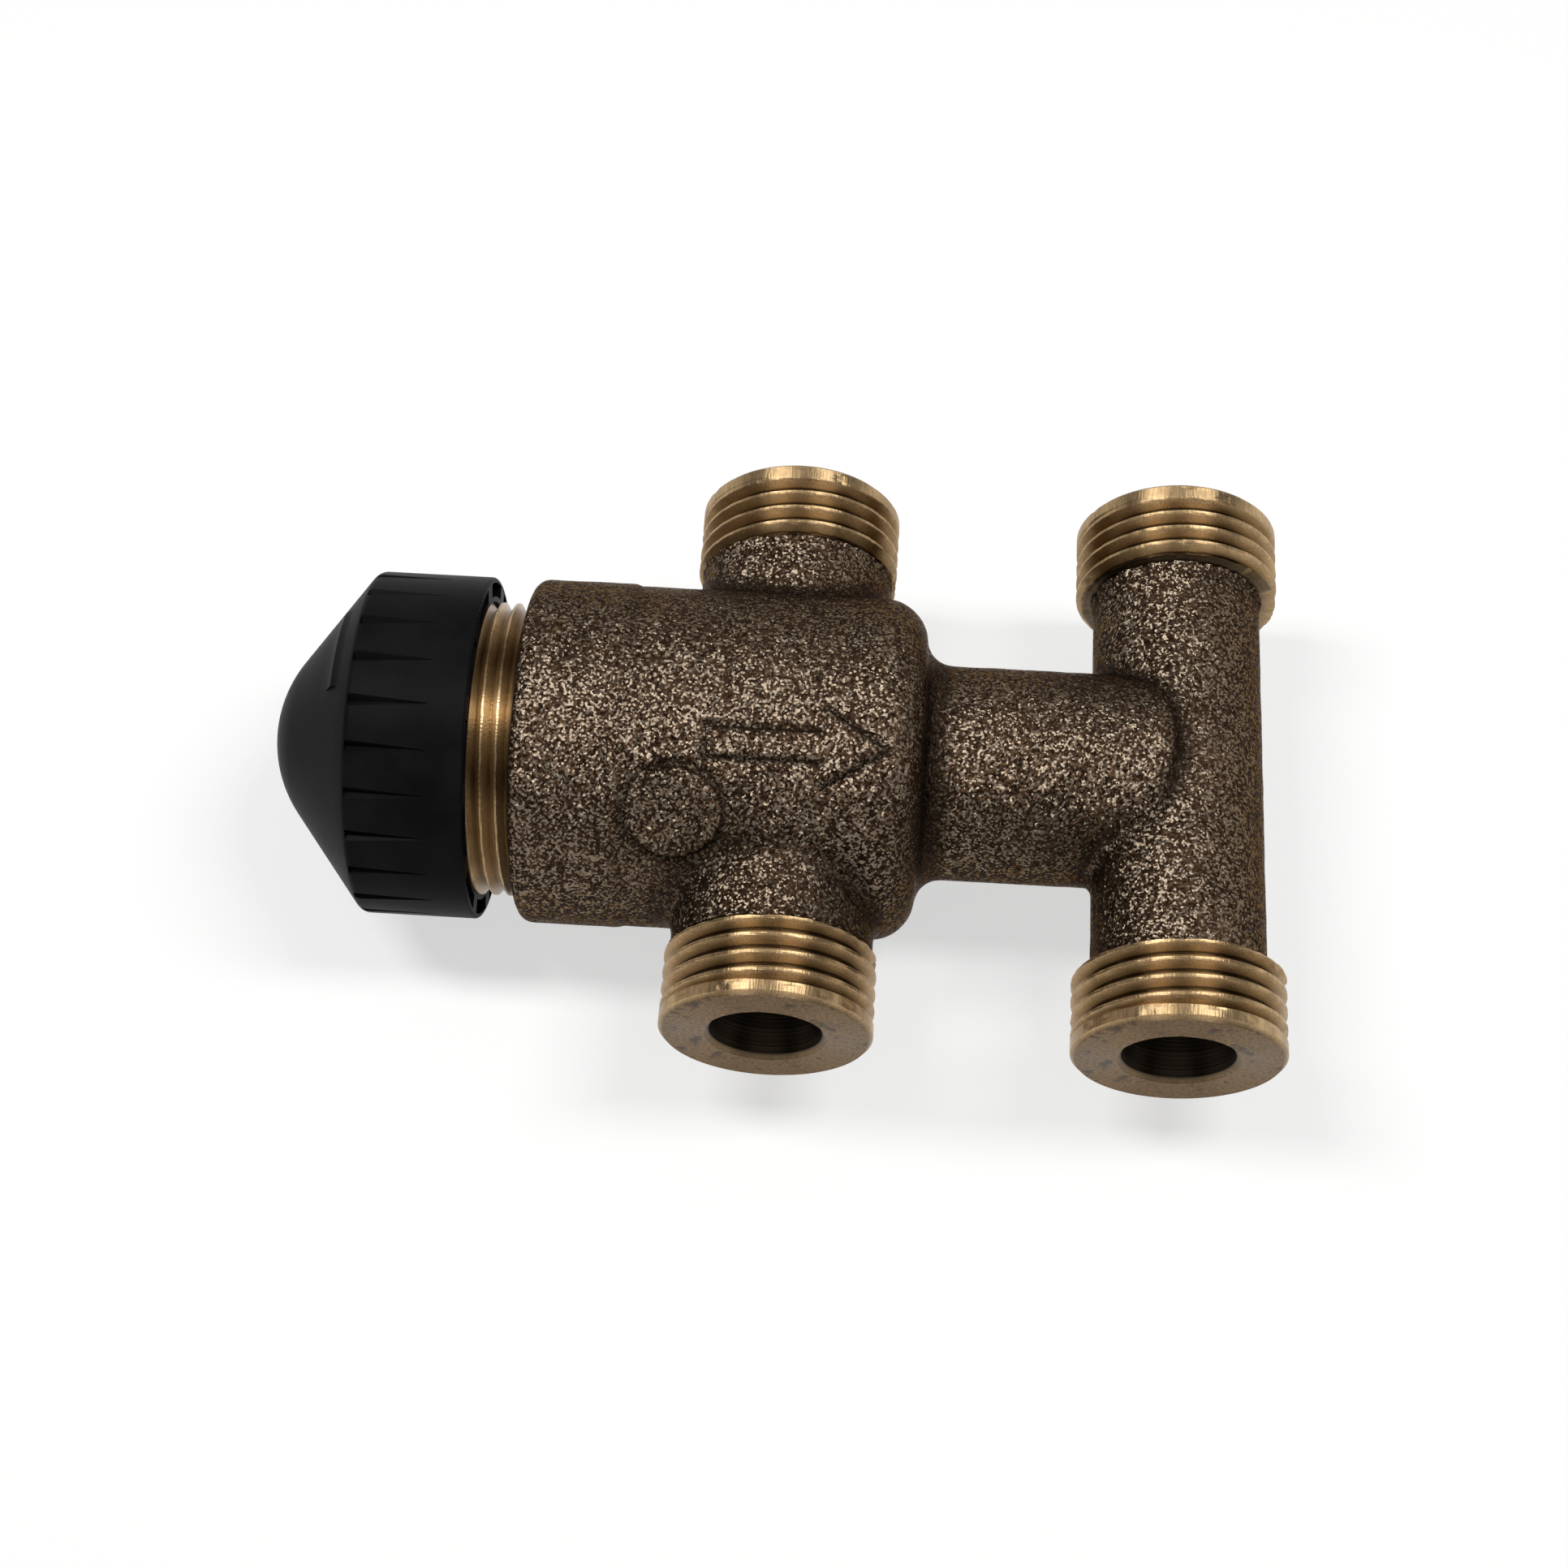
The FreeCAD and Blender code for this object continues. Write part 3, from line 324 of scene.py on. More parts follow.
def makeBlackPlastic():
    look = capLook
    material, tree, shader = newMaterial("blackPlastic", IOR=1.3, Specular_IOR_Level=look["shine"])
    place = addNode(tree, "ShaderNodeTexCoord").outputs["Object"]
    grain = addNode(tree, "ShaderNodeTexNoise", {
        "Vector": place, "Scale": 1000 / look["mouldGrain"], "Detail": 3.0, "Roughness": 0.6})
    rub = addNode(tree, "ShaderNodeTexNoise", {"Vector": place, "Scale": 160.0, "Detail": 5.0})
    colour = colourRamp(tree, rub.outputs["Fac"], [
        (0.38, look["bodyColour"]), (0.78, look["dustColour"])])
    tree.links.new(colour, shader.inputs["Base Color"])
    rough = mathNode(tree, "ADD", remap(tree, rub.outputs["Fac"], 0.3, 0.7, 0.38, 0.46),
                     remap(tree, grain.outputs["Fac"], 0.3, 0.7, -0.03, 0.05))
    tree.links.new(rough, shader.inputs["Roughness"])
    bump = addNode(tree, "ShaderNodeBump", {
        "Height": grain.outputs["Fac"], "Strength": 0.7, "Distance": look["grainDepth"] * mm})
    tree.links.new(bump.outputs["Normal"], shader.inputs["Normal"])
    return material


castBronze = makeCastBronze()
turnedBrass = makeTurnedBrass()
innerBrass = makeInnerBrass()
stainlessSteel = makeStainlessSteel()
sealRubber = makeSealRubber()
whitePlastic = makeWhitePlastic()
blackPlastic = makeBlackPlastic()
print("materials made")


# The casting: a soft copy of the solid, with dents, cut off where the threads start

castSettings = {
    "voxel": 0.37,         # mm, the net that the dents and creases are pressed into
    "triangles": 190000,   # that are left of it in the end, with the flat parts thinned most
    "dentDepth": 0.09,     # mm, all of it inwards
    "dentSize": 2.6,       # mm
    "rippleDepth": 0.035,
    "rippleSize": 1.1,
    "rippleShift": Vector((7, 3, 5)),
    "reliefReach": 0.9,    # mm off the barrel's radius, where its relief counts
    "reliefFrom": -16.0,   # mm along the spindle
    "reliefTo": 14.0,
    "bossPlace": -9.95,    # mm along the spindle
    "bossTurn": -45.7,     # degrees from the top
    "bossRadius": 4.55,
    "creaseDepth": 0.30,   # mm, the crease round what stands up
    "creaseWidth": 0.42,
    "creaseShade": 0.85,   # how dark the painted shade in a crease is
    "hollowRounds": 16,    # of smoothing, to find the hollows
    "hollowDepth": 0.10,   # mm below the smoothed skin that counts as all hollow
    # how dark the painted shade in a hollow is
    "hollowShade": 0.6,
    "boreRelief": 0.3,     # mm, how far the skin stands back behind the turned bores
    "boreReach": 11.6,     # mm from the spindle, where the turned bores end
    "boreMargin": 0.3,     # mm beyond the bore
}

arrowSettings = {
    "turn": -22.0,         # degrees from the top, towards the near ports
    "start": -7.0,         # mm along the spindle
    "length": 17.0,
    "headLength": 6.0,
    "headWidth": 7.6,
    "shaftWidth": 2.6,
    "slantShare": 0.84,    # turns a way across the head into one square to its slanted edge
    "rise": 0.55,          # mm
    "edge": 0.4,           # mm, how wide its sloping side is
}


def mergedCopy(node):
    mesh = bmesh.new()
    mesh.from_mesh(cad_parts[node].data)
    bmesh.ops.remove_doubles(mesh, verts=mesh.verts, dist=0.002 * mm)
    return mesh


def finishedObject(name, mesh, material):
    data = bpy.data.meshes.new(name)
    mesh.to_mesh(data)
    mesh.free()
    data.materials.clear()
    data.materials.append(material)
    piece = bpy.data.objects.new(name, data)
    bpy.context.scene.collection.objects.link(piece)
    return piece


def bakeModifiers(piece, material):
    # the evaluated shape becomes the piece's own plain mesh
    graph = bpy.context.evaluated_depsgraph_get()
    data = bpy.data.meshes.new_from_object(piece.evaluated_get(graph))
    piece.modifiers.clear()
    piece.data = data
    data.materials.clear()
    data.materials.append(material)
    return data


def arrowInside(x, turn):
    # how far a spot lies inside the outline of a plain arrow that points to the tee
    look = arrowSettings
    along = x - look["start"]
    across = abs(math.radians(turn - look["turn"]) * places["barrelRadius"])
    shaftEnd = look["length"] - look["headLength"]
    inShaft = look["shaftWidth"] / 2 - across
    if along < shaftEnd:
        return min(inShaft, along)
    slant = (look["length"] - along) * look["headWidth"] / 2 / look["headLength"]
    return min((slant - across) * look["slantShare"], along - shaftEnd + max(0, inShaft))


def relief(x, turn):
    # the raised arrow, and the creases round it and round the boss: height, and share of crease, which also
    # sets the painted shade there
    look = castSettings
    inside = arrowInside(x, turn)
    share = min(max(inside / arrowSettings["edge"] + 0.5, 0), 1)
    height = arrowSettings["rise"] * share * share * (3 - 2 * share)
    arrowCrease = max(0, 1 - abs(inside + arrowSettings["edge"]) / look["creaseWidth"])
    across = math.radians(turn - look["bossTurn"]) * places["barrelRadius"]
    outside = math.hypot(x - look["bossPlace"], across) - look["bossRadius"]
    bossCrease = max(0, 1 - abs(outside - look["creaseWidth"]) / look["creaseWidth"])
    shadedCrease = max(arrowCrease, bossCrease)
    return height - look["creaseDepth"] * shadedCrease, shadedCrease


def hollowness(data):
    # how much each point lies below the smoothed skin, from 0 to 1
    count = len(data.vertices)
    points = np.empty(count * 3)
    data.vertices.foreach_get("co", points)
    points = points.reshape(-1, 3)
    normals = np.empty(count * 3)
    data.vertices.foreach_get("normal", normals)
    edges = np.empty(len(data.edges) * 2, dtype=np.int32)
    data.edges.foreach_get("vertices", edges)
    first, second = edges.reshape(-1, 2).T
    neighbours = np.bincount(first, minlength=count) + np.bincount(second, minlength=count)
    smooth = points
    for _ in range(castSettings["hollowRounds"]):
        total = [np.bincount(first, smooth[second, axis], count)
                 + np.bincount(second, smooth[first, axis], count) for axis in range(3)]
        smooth = np.array(total).T / neighbours[:, None]
    below = ((smooth - points) * normals.reshape(-1, 3)).sum(axis=1) / mm
    return np.clip(below / castSettings["hollowDepth"], 0, 1)


def makeCastSkin():
    look = castSettings
    mesh = mergedCopy("valve_body")
    for side in (-1, 1):
        cut = bmesh.ops.bisect_plane(
            mesh, geom=mesh.verts[:] + mesh.edges[:] + mesh.faces[:], dist=0.0001 * mm,
            plane_co=(0, side * places["threadStart"] * mm, 0), plane_no=(0, side, 0), clear_outer=True)
        rim = [item for item in cut["geom_cut"] if isinstance(item, bmesh.types.BMEdge)]
        bmesh.ops.triangle_fill(mesh, edges=rim, use_beauty=True)
    skin = finishedObject("castSkin", mesh, castBronze)
    remesh = skin.modifiers.new("skin", "REMESH")
    remesh.mode = "VOXEL"
    remesh.voxel_size = look["voxel"] * mm
    data = bakeModifiers(skin, castBronze)

    normals = [Vector(vertex.normal) for vertex in data.vertices]
    hollow = hollowness(data)
    creaseAndHollowShades = data.attributes.new("shadedCrease", "FLOAT", "POINT")
    for index, (vertex, normal) in enumerate(zip(data.vertices, normals)):
        x, y, z = vertex.co / mm
        nearestPort = 0 if x < places["portSpacing"] / 2 else places["portSpacing"]
        offBore = math.hypot(x - nearestPort, z) - places["portBore"]
        if abs(y) > look["boreReach"] and offBore < look["boreMargin"]:
            vertex.co -= normal * look["boreRelief"] * mm
            continue
        spot = Vector((x, y, z))
        dent = noise.noise(spot / look["dentSize"]) * 0.5 + 0.5
        ripple = noise.noise(spot / look["rippleSize"] + look["rippleShift"]) * 0.5 + 0.5
        shift = -dent * look["dentDepth"] - ripple * look["rippleDepth"]
        shadedCrease = 0
        onBarrel = abs(math.hypot(y, z) - places["barrelRadius"]) < look["reliefReach"]
        if onBarrel and z > 0 and look["reliefFrom"] < x < look["reliefTo"]:
            height, shadedCrease = relief(x, math.degrees(math.atan2(y, z)))
            shift += height
        # painted shade: the crease share and the hollowness darken the colour here
        creaseAndHollowShades.data[index].value = max(shadedCrease * look["creaseShade"], hollow[index] * look["hollowShade"])
        vertex.co += normal * shift * mm
    thin = skin.modifiers.new("thin", "DECIMATE")
    thin.ratio = look["triangles"] / (2 * len(data.polygons))
    data = bakeModifiers(skin, castBronze)
    data.shade_smooth()
    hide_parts("valve_body")
    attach(skin, "casting")
    print("casting skinned:", len(data.polygons), "faces")


makeCastSkin()


# Turned pieces: a blank is turned from its outline, then the thread is cut into it

smoothAngle = 24      # degrees, under which two faces are shaded as one

lathePlaces = {
    "threadReach": 1.3,    # mm under the crest, beyond which nothing is thread
    "onFace": 0.01,        # mm
    "faceRim": 0.3,        # mm of the face's rim that shows the thread's finish
    "boreReach": 0.35,     # mm outside the bore
    # how strong the painted shade is under the rings' lips and at the neck's mouth
    "darkShare": 0.75,
}

portSettings = {
    "crest": 10.4775,      # mm, radius over the thread
    "pitch": 1.814,
    "depth": 1.08,
    "runOut": 0.2,         # share of the pitch
    "crestFlat": 0.17,     # share of the pitch
    "crestDip": 0.035,     # mm, the land is a little hollow between its burred edges
    "plainBand": 1.5,      # mm left unthreaded at the open end
    "endBevel": 0.45,
    "boreBevel": 0.45,
    "backEdge": 0.8,       # mm from the bore to the inner edge of the ring's back
    "sleeve": 0.12,        # mm, wall of the bore's sleeve at its inner end
    "darkBack": 0.2,       # mm from the ring's back that get painted shade
    "darkUnder": 0.25,     # mm under the crest, from where they do
    "startTurn": 0.35,
    "rowSpacing": 0.06,
    "around": 128,
    "burr": 0.22,          # mm, how ragged the lip over the pipe is
    "burrReach": 0.7,      # mm from the ring's back
    "nick": 0.10,          # mm, dents knocked into the crests
    "nickFrom": 0.42,      # of the noise, above which there is a dent
    "nickShift": Vector((0, 0, 40)),
    "wall": 1.2,           # mm under the crest that are roughened
    "land": 0.2,           # mm under the crest that can be dented
}

neckSettings = {
    "crest": 15.0,
    "pitch": 1.5,
    "depth": 0.95,
    "runOut": 0.4,
    "crestFlat": 0.13,
    "crestDip": 0.03,
    "rowSpacing": 0.06,
    "around": 160,
    "startTurn": 0.53,     # brings the last crest to the mouth at the top
    "top": -35.6,          # mm along the spindle
    "topBevel": 1.0,
    "bore": 8.5,
    "darkBand": 0.35,      # mm at the mouth that get painted shade
    # radius and place along the spindle, from the bore's lip round to the thread's end
    "inside": [
        (8.5, -33.6), (5.05, -33.6), (5.05, -29.0), (2.05, -29.0), (2.05, -27.5),
        (6.2, -27.5), (6.2, -15.0), (6.8, -15.0), (6.8, -14.2), (6.2, -14.2), (6.2, -13.2),
        (13.15, -13.2), (13.15, -14.05), (11.65, -14.05), (11.65, -16.45), (13.15, -16.45),
        (13.15, -17.3), (15.0, -17.3)],
}


def makeThreadTree():
    # cuts a right-handed thread about Z into whatever of the blank stands outside it
    tree = bpy.data.node_groups.new("cutThread", "GeometryNodeTree")
    face = tree.interface
    face.new_socket("Geometry", in_out="INPUT", socket_type="NodeSocketGeometry")
    for name in ("Crest Radius", "Pitch", "Depth", "Crest Flat", "Crest Dip", "From", "To", "Run Out",
                 "Start Turn"):
        face.new_socket(name, in_out="INPUT", socket_type="NodeSocketFloat")
    face.new_socket("Finish", in_out="INPUT", socket_type="NodeSocketMaterial")
    face.new_socket("Geometry", in_out="OUTPUT", socket_type="NodeSocketGeometry")
    given = tree.nodes.new("NodeGroupInput").outputs
    result = tree.nodes.new("NodeGroupOutput")

    def calc(operation, first, second=0.0, clamp=False):
        return addNode(tree, "ShaderNodeMath", {0: first, 1: second},
                       operation=operation, use_clamp=clamp).outputs[0]

    place = addNode(tree, "GeometryNodeInputPosition").outputs[0]
    parts = addNode(tree, "ShaderNodeSeparateXYZ", {0: place}).outputs
    radius = calc("SQRT", calc("ADD", calc("MULTIPLY", parts["X"], parts["X"]),
                               calc("MULTIPLY", parts["Y"], parts["Y"])))
    angle = calc("ARCTAN2", parts["Y"], parts["X"])
    turns = calc("ADD", calc("DIVIDE", angle, math.tau), given["Start Turn"])
    phase = calc("FRACT", calc("SUBTRACT", calc("DIVIDE", parts["Z"], given["Pitch"]), turns))
    wave = calc("MULTIPLY", calc("ABSOLUTE", calc("SUBTRACT", phase, 0.5)), 2.0)
    cutting = calc("DIVIDE", calc("SUBTRACT", wave, given["Crest Flat"]),
                   calc("SUBTRACT", 0.9, given["Crest Flat"]), clamp=True)
    hollow = calc("SUBTRACT", 1.0, calc("DIVIDE", wave, given["Crest Flat"]), clamp=True)
    inFrom = calc("DIVIDE", calc("SUBTRACT", parts["Z"], given["From"]), given["Run Out"], clamp=True)
    inTo = calc("DIVIDE", calc("SUBTRACT", given["To"], parts["Z"]), given["Run Out"], clamp=True)
    whole = calc("ADD", calc("MULTIPLY", cutting, given["Depth"]),
                 calc("MULTIPLY", hollow, given["Crest Dip"]))
    cut = calc("MULTIPLY", whole, calc("MULTIPLY", inFrom, inTo))
    threadRadius = calc("SUBTRACT", given["Crest Radius"], cut)
    scale = calc("DIVIDE", calc("MINIMUM", radius, threadRadius), radius)
    moved = addNode(tree, "ShaderNodeCombineXYZ", {
        "X": calc("MULTIPLY", parts["X"], scale), "Y": calc("MULTIPLY", parts["Y"], scale),
        "Z": parts["Z"]})
    setPosition = addNode(tree, "GeometryNodeSetPosition", {
        "Geometry": given["Geometry"], "Position": moved.outputs[0]})
    realized = addNode(tree, "GeometryNodeRealizeInstances", {0: setPosition.outputs[0]})
    finish = addNode(tree, "GeometryNodeSetMaterial", {
        "Geometry": realized.outputs[0], "Material": given["Finish"]})
    tree.links.new(finish.outputs[0], result.inputs[0])
    return tree


threadTree = makeThreadTree()


def turnedBlank(outline, settings, threadFrom, threadTo):
    # turns a closed outline of (radius, place) corners about Z, with close rows under the thread
    around = settings["around"]
    plainSpacing = 2.5
    rows = []
    for index, (radius, place) in enumerate(outline):
        nextRadius, nextPlace = outline[(index + 1) % len(outline)]
        rows.append((radius, place))
        low, high = min(place, nextPlace), max(place, nextPlace)
        underThread = threadFrom - 0.01 < low < high < threadTo + 0.01
        length = math.hypot(nextRadius - radius, nextPlace - place)
        count = max(1, round(length / (settings["rowSpacing"] if underThread else plainSpacing)))
        for part in range(1, count):
            share = part / count
            rows.append((radius + (nextRadius - radius) * share, place + (nextPlace - place) * share))
    mesh = bmesh.new()
    rings = []
    for radius, place in rows:
        ring = []
        for step in range(around):
            angle = math.tau * step / around
            ring.append(mesh.verts.new((radius * math.cos(angle), radius * math.sin(angle), place)))
        rings.append(ring)
    for index, ring in enumerate(rings):
        following = rings[(index + 1) % len(rings)]
        for step in range(around):
            after = (step + 1) % around
            mesh.faces.new((ring[step], ring[after], following[after], following[step]))
    bmesh.ops.recalc_face_normals(mesh, faces=mesh.faces)
    return mesh


def cutThread(piece, settings, threadFrom, threadTo):
    modifier = piece.modifiers.new("thread", "NODES")
    modifier.node_group = threadTree
    values = {
        "Crest Radius": settings["crest"], "Pitch": settings["pitch"], "Depth": settings["depth"],
        "Crest Flat": settings["crestFlat"], "Crest Dip": settings["crestDip"],
        "From": threadFrom, "To": threadTo, "Run Out": settings["pitch"] * settings["runOut"],
        "Start Turn": settings["startTurn"], "Finish": turnedBrass}
    for item in threadTree.interface.items_tree:
        if item.in_out == "INPUT" and item.name in values:
            modifier[item.identifier] = values[item.name]
    return bakeModifiers(piece, turnedBrass)


def keepLathePlaces(data, crest, bore, face, layDown, isDark):
    # what the lathe's finish reads, kept with the points before the piece is laid in its place
    look = lathePlaces
    lathe = data.attributes.new("lathe", "FLOAT_VECTOR", "POINT")
    worked = data.attributes.new("worked", "FLOAT_VECTOR", "POINT")
    around = data.attributes.new("around", "FLOAT_VECTOR", "POINT")
    for index, vertex in enumerate(data.vertices):
        x, y, along = vertex.co
        radius = math.hypot(x, y)
        depth = crest - radius if radius > crest - look["threadReach"] else 0
        onFace = abs(along - face) < look["onFace"] and radius < crest - look["faceRim"]
        # painted shade: the bore, the ring's back under its lip and the neck's end at the mouth get the
        # dark bore shade
        inside = look["darkShare"] if isDark(radius, along) else 0
        if radius < bore + look["boreReach"] and not onFace:
            inside = 1
        lathe.data[index].vector = (x, y, along)
        worked.data[index].vector = (depth, float(onFace), inside)
        around.data[index].vector = layDown.to_3x3() @ Vector((-y / radius, x / radius, 0))


def roughenThread(data, settings, start):
    # a ragged lip where the tool broke out of the casting, and crests that have been knocked about
    for vertex in data.vertices:
        radius = math.hypot(vertex.co.x, vertex.co.y)
        if radius < settings["crest"] - settings["wall"]:
            continue
        nearLip = 1 - (vertex.co.z - start) / settings["burrReach"]
        if nearLip > 0:
            ragged = max(0, noise.noise(vertex.co * 1.3) + 0.2) + max(0, noise.noise(vertex.co * 4) * 0.5)
            vertex.co.z += ragged * settings["burr"] * nearLip
        knock = noise.noise(vertex.co * 1.1 + settings["nickShift"]) - settings["nickFrom"]
        if knock > 0 and radius > settings["crest"] - settings["land"]:
            share = 1 - min(knock * 6, 1) * settings["nick"] / radius
            vertex.co.x *= share
            vertex.co.y *= share


def shadeByAngle(piece, degrees=smoothAngle):
    # smooth, but for the edges that turn by more
    piece.data.shade_smooth()
    sharp = math.cos(math.radians(degrees))
    mesh = bmesh.new()
    mesh.from_mesh(piece.data)
    for edge in mesh.edges:
        if len(edge.link_faces) == 2:
            first, second = edge.link_faces
            edge.smooth = first.normal.dot(second.normal) > sharp
    mesh.to_mesh(piece.data)
    mesh.free()


def makePort(name, spindlePlace, side):
    # the threaded ring, its end face and the turned bore behind it, made along Z and laid on Y
    look = portSettings
    start = places["threadStart"]
    end = places["portFace"]
    bore = places["portBore"]
    bevelEnd = end - look["endBevel"]
    outline = [
        (bore, castSettings["boreReach"]), (bore, end - look["boreBevel"]), (bore + look["boreBevel"], end),
        (look["crest"] - look["endBevel"], end), (look["crest"], bevelEnd), (look["crest"], start),
        (bore + look["backEdge"], start), (bore + look["sleeve"], castSettings["boreReach"])]
    piece = finishedObject(name, turnedBlank(outline, look, start, bevelEnd), turnedBrass)
    data = cutThread(piece, look, start - look["pitch"], end - look["plainBand"])
    roughenThread(data, look, start)
    layDown = Matrix.Rotation(math.radians(-90 * side), 4, "X")
    keepLathePlaces(
        data, look["crest"], bore, end, layDown,
        lambda radius, along: (along < start + look["darkBack"]
                               and radius < look["crest"] - look["darkUnder"]))
    data.transform(Matrix.Translation((spindlePlace * mm, 0, 0)) @ layDown @ Matrix.Scale(mm, 4))
    shadeByAngle(piece)
    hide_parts("valve_body")
    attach(piece, "casting")


makePort("nearBarrelThread", 0, -1)
makePort("farBarrelThread", 0, 1)
makePort("nearTeeThread", places["portSpacing"], -1)
makePort("farTeeThread", places["portSpacing"], 1)
print("port threads cut")


def makeNeck():
    # the bonnet with its machine thread, made along Z with the top at the negative end
    look = neckSettings
    crest, top, mouth = look["crest"], look["top"], places["mouthFace"]
    bevelEnd = top + look["topBevel"]
    outline = [(look["bore"], top), *look["inside"], (crest, mouth), (crest, bevelEnd),
               (crest - look["topBevel"], top)]
    piece = finishedObject("neckThread", turnedBlank(outline, look, bevelEnd, mouth), turnedBrass)
    data = cutThread(piece, look, top - look["pitch"], mouth + look["pitch"])
    layDown = Matrix.Rotation(math.radians(90), 4, "Y")
    keepLathePlaces(data, crest, look["bore"], top, layDown,
                    lambda radius, along: along > mouth - look["darkBand"])
    data.transform(layDown @ Matrix.Scale(mm, 4))
    shadeByAngle(piece)
    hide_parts("bonnet")
    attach(piece, "casting")


makeNeck()
print("neck thread cut")


def makeCap():
    piece = finishedObject("capShell", mergedCopy("hand_cap"), blackPlastic)
    shadeByAngle(piece)
    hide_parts("hand_cap")
    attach(piece, "cap")


makeCap()
print("cap made")


springSettings = {"smoothAngle": 35}


def makeSpring():
    # the coil that rests on its lower washer, at its modelled length; the real one shortens as the spindle
    # slides in
    piece = finishedObject("springCoil", mergedCopy("return_spring"), stainlessSteel)
    shadeByAngle(piece, springSettings["smoothAngle"])
    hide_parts("return_spring")
    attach(piece, "casting")
    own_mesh(piece)


makeSpring()
print("spring made")

# the other pieces keep their solids and get their finish
innerFinishes = {
    "upper_seat_ring": innerBrass, "lower_seat_ring": innerBrass, "gland_nut": innerBrass,
    "spring_base": innerBrass, "spring_cup": innerBrass, "plug": innerBrass, "plug_nut": innerBrass,
    "bonnet_o_ring": sealRubber, "gland_o_ring_outer": sealRubber, "gland_o_ring_inner": sealRubber,
    "upper_plug_seal": sealRubber, "lower_plug_seal": sealRubber, "gland_backing_ring": whitePlastic,
    "spring_base_clip": stainlessSteel, "stem": stainlessSteel, "stem_clip": stainlessSteel,
}
for node, finish in innerFinishes.items():
    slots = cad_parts[node].data.materials
    slots.clear()
    slots.append(finish)
print("inner pieces finished")


# Stage, lamps and camera

stageSettings = {
    "floorGap": 0.02,       # mm under the lowest point
    "floorSize": 4.0,       # m
    "floorColour": (0.93, 0.93, 0.92, 1),
    "floorGlow": 0.62,      # share of plain white that the camera sees, the rest shows the shadow
    "shadowReach": 0.15,    # m from the middle, up to here it glows no more than that
    "whiteBeyond": 0.8,     # m, from here on it is all white, and runs out into the background
    "skyForObject": 0.16,
    "overhead": 1.0,
    "overheadFrom": (0.68, 0.86),   # height on the sky, from 0 to 1
    "ceiling": 0.14,        # the studio's dark ceiling, as the metal mirrors it
    "ceilingFrom": (0.12, 0.50),
}

lampSettings = {
    "width": 0.11,          # m
    "length": 0.26,
    "watts": 2.25,
    "aside": 0.27,          # m to the left and to the right of the object
    "behind": 0.03,
    "above": 0.57,
}

# the photograph's own viewpoint, found from the ports' circles
cameraSettings = {
    "elevation": 62.183,    # degrees
    "yaw": 3.908,
    "roll": -0.301,
    "place": Vector((8.594, -126.867, 236.710)),    # mm
    "lens": 60.33,          # mm on a film 36 mm wide
    "film": 36,
    "nearest": 0.01,        # m
}


def seenDirectly(tree):
    path = addNode(tree, "ShaderNodeLightPath").outputs
    seen = mathNode(tree, "ADD", path["Is Camera Ray"], path["Is Glossy Ray"], clamp=True)
    return mathNode(tree, "ADD", seen, path["Is Transmission Ray"], clamp=True)


def makeFloor():
    look = stageSettings
    low = cadBox[0][2] - look["floorGap"] * mm
    half = look["floorSize"] / 2
    mesh = bmesh.new()
    corners = [mesh.verts.new((x * half, y * half, low)) for x, y in ((-1, -1), (1, -1), (1, 1), (-1, 1))]
    mesh.faces.new(corners)
    material, tree, shader = newMaterial("paleFloor", Roughness=0.9)
    shader.inputs["Base Color"].default_value = look["floorColour"]
    glow = addNode(tree, "ShaderNodeEmission", {"Color": (1, 1, 1, 1), "Strength": 1.0})
    spot = addNode(tree, "ShaderNodeTexCoord").outputs["Object"]
    away = addNode(tree, "ShaderNodeVectorMath", {0: spot}, operation="LENGTH").outputs["Value"]
    whiteness = remap(tree, away, look["shadowReach"], look["whiteBeyond"], look["floorGlow"], 1.0)
    share = mathNode(tree, "MULTIPLY", seenDirectly(tree), whiteness)
    both = addNode(tree, "ShaderNodeMixShader", {0: share, 1: shader.outputs[0], 2: glow.outputs[0]})
    tree.links.new(both.outputs[0], tree.nodes["Material Output"].inputs["Surface"])
    finishedObject("floor", mesh, material)


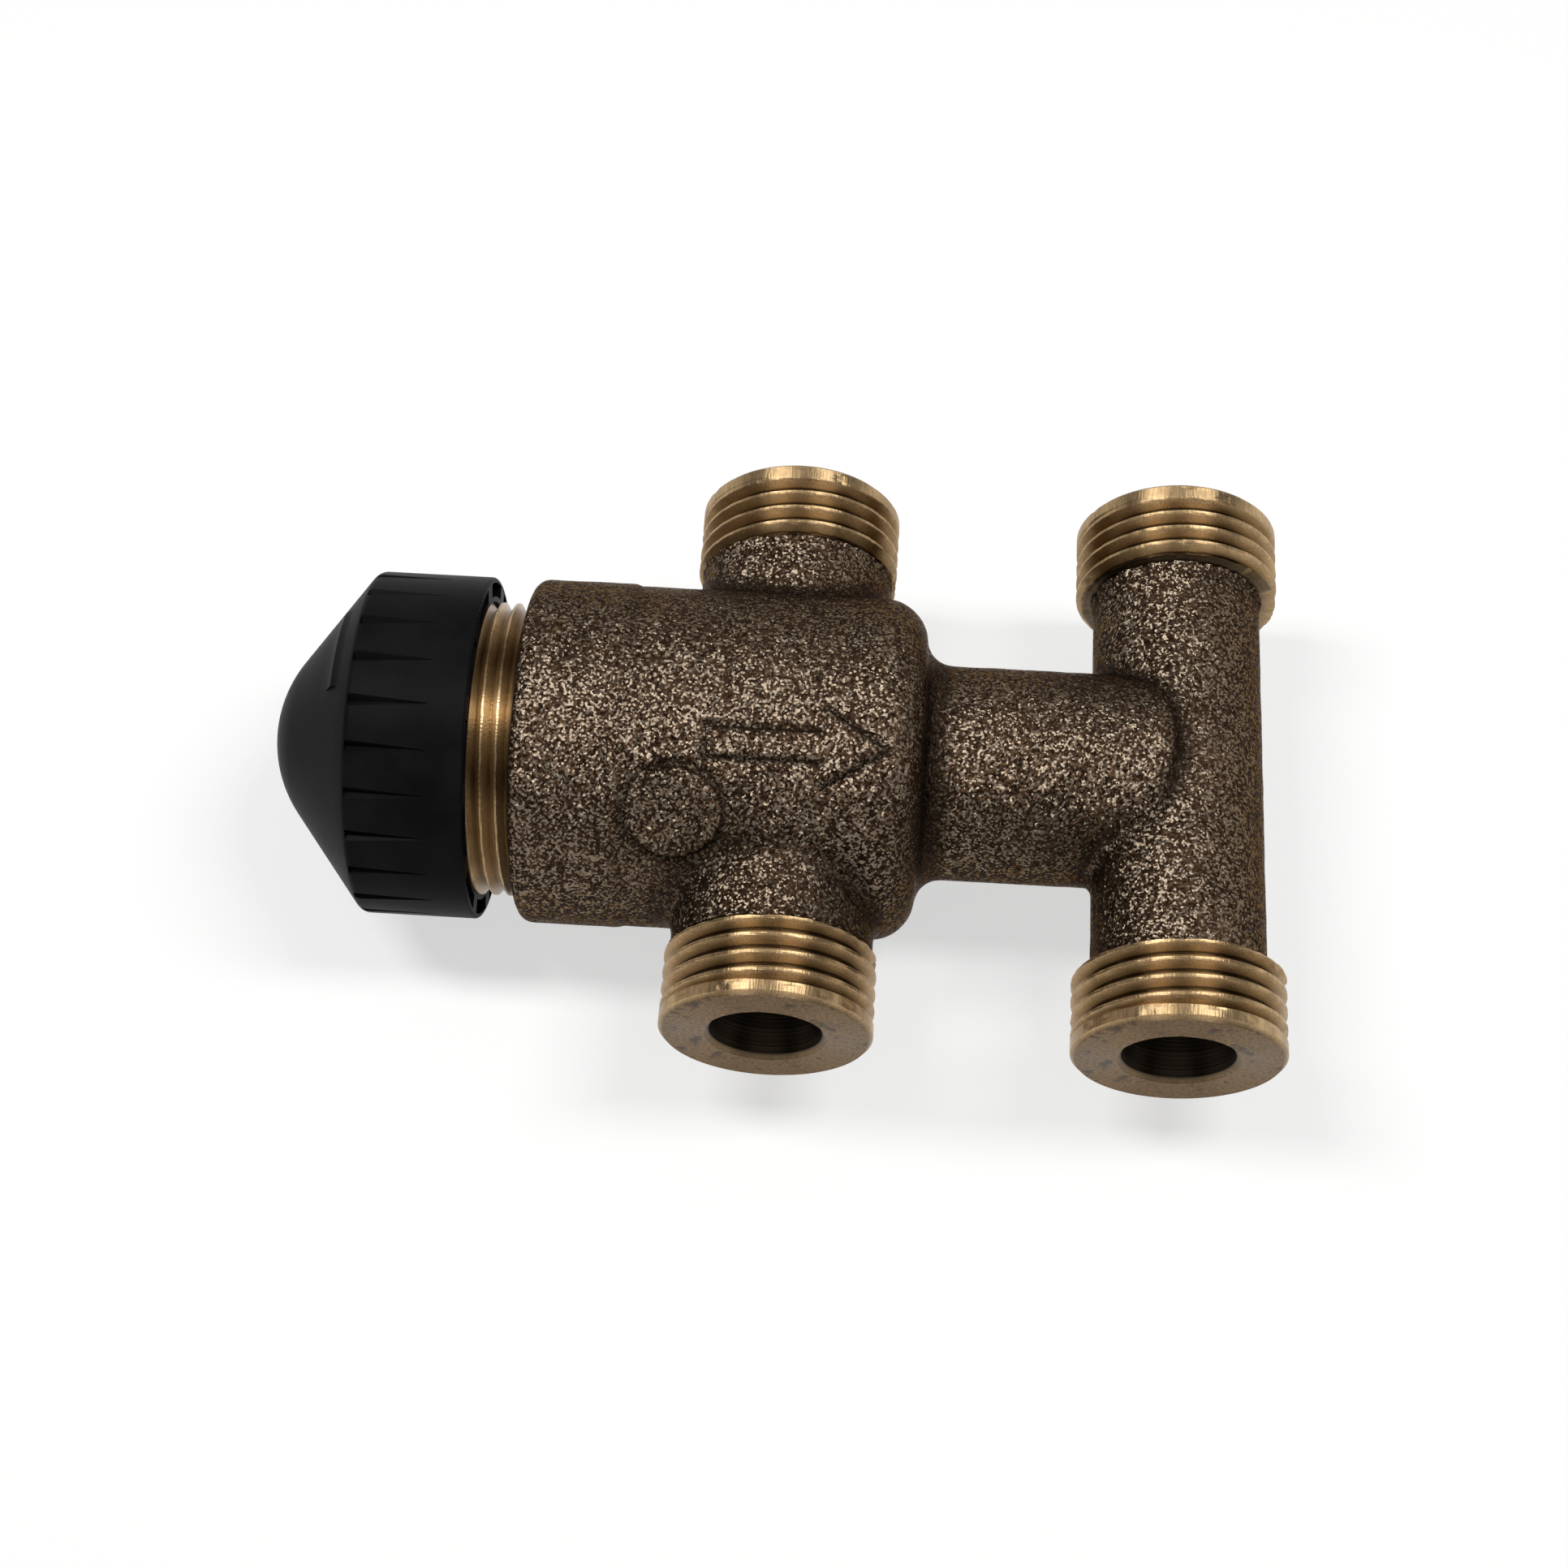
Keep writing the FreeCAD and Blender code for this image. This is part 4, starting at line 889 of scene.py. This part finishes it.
def makeSky():
    look = stageSettings
    world = bpy.context.scene.world or bpy.data.worlds.new("studio")
    bpy.context.scene.world = world
    world.use_nodes = True
    tree = world.node_tree
    background = tree.nodes["Background"]
    background.inputs["Color"].default_value = (1, 1, 1, 1)
    # plain white round the horizon and overhead, a darker ceiling between them for what mirrors it
    heading = addNode(tree, "ShaderNodeTexCoord").outputs["Generated"]
    height = addNode(tree, "ShaderNodeSeparateXYZ", {"Vector": heading}).outputs["Z"]
    aboveHorizon = remap(tree, height, *look["ceilingFrom"], 1.0, look["ceiling"])
    overhead = remap(tree, height, *look["overheadFrom"], 0.0, look["overhead"])
    mirrored = mathNode(tree, "MAXIMUM", aboveHorizon, overhead)
    path = addNode(tree, "ShaderNodeLightPath").outputs
    direct = mathNode(tree, "ADD", path["Is Camera Ray"], path["Is Transmission Ray"], clamp=True)
    shown = mathNode(tree, "ADD", direct, mathNode(tree, "MULTIPLY", path["Is Glossy Ray"], mirrored),
                     clamp=True)
    plain = mathNode(tree, "MULTIPLY", mathNode(tree, "SUBTRACT", 1.0, seenDirectly(tree)),
                     look["skyForObject"])
    tree.links.new(mathNode(tree, "ADD", shown, plain), background.inputs["Strength"])


def addLamp(name, side):
    look = lampSettings
    lamp = bpy.data.lights.new(name, "AREA")
    lamp.shape = "RECTANGLE"
    lamp.size = look["width"]
    lamp.size_y = look["length"]
    lamp.energy = look["watts"]
    item = bpy.data.objects.new(name, lamp)
    place = Vector((side * look["aside"], look["behind"], look["above"]))
    item.location = place
    item.rotation_euler = (-place).to_track_quat("-Z", "Y").to_euler()
    bpy.context.scene.collection.objects.link(item)


def makeCamera():
    look = cameraSettings
    elevation, yaw, roll = (math.radians(look[angle]) for angle in ("elevation", "yaw", "roll"))
    back = Vector((math.sin(yaw) * math.cos(elevation), -math.cos(yaw) * math.cos(elevation),
                   math.sin(elevation)))
    right = Vector((math.cos(yaw), math.sin(yaw), 0))
    up = back.cross(right)
    rolledRight = right * math.cos(roll) + up * math.sin(roll)
    rolledUp = up * math.cos(roll) - right * math.sin(roll)
    lens = bpy.data.cameras.new("photoCamera")
    lens.lens = look["lens"]
    lens.sensor_width = look["film"]
    lens.clip_start = look["nearest"]
    camera = bpy.data.objects.new("photoCamera", lens)
    turn = Matrix((rolledRight, rolledUp, back)).transposed().to_4x4()
    camera.matrix_world = Matrix.Translation(look["place"] * mm) @ turn
    bpy.context.scene.collection.objects.link(camera)
    bpy.context.scene.camera = camera


makeFloor()
makeSky()
addLamp("leftLamp", -1)
addLamp("rightLamp", 1)
makeCamera()
bpy.context.scene.view_settings.view_transform = "Standard"
print("stage set")
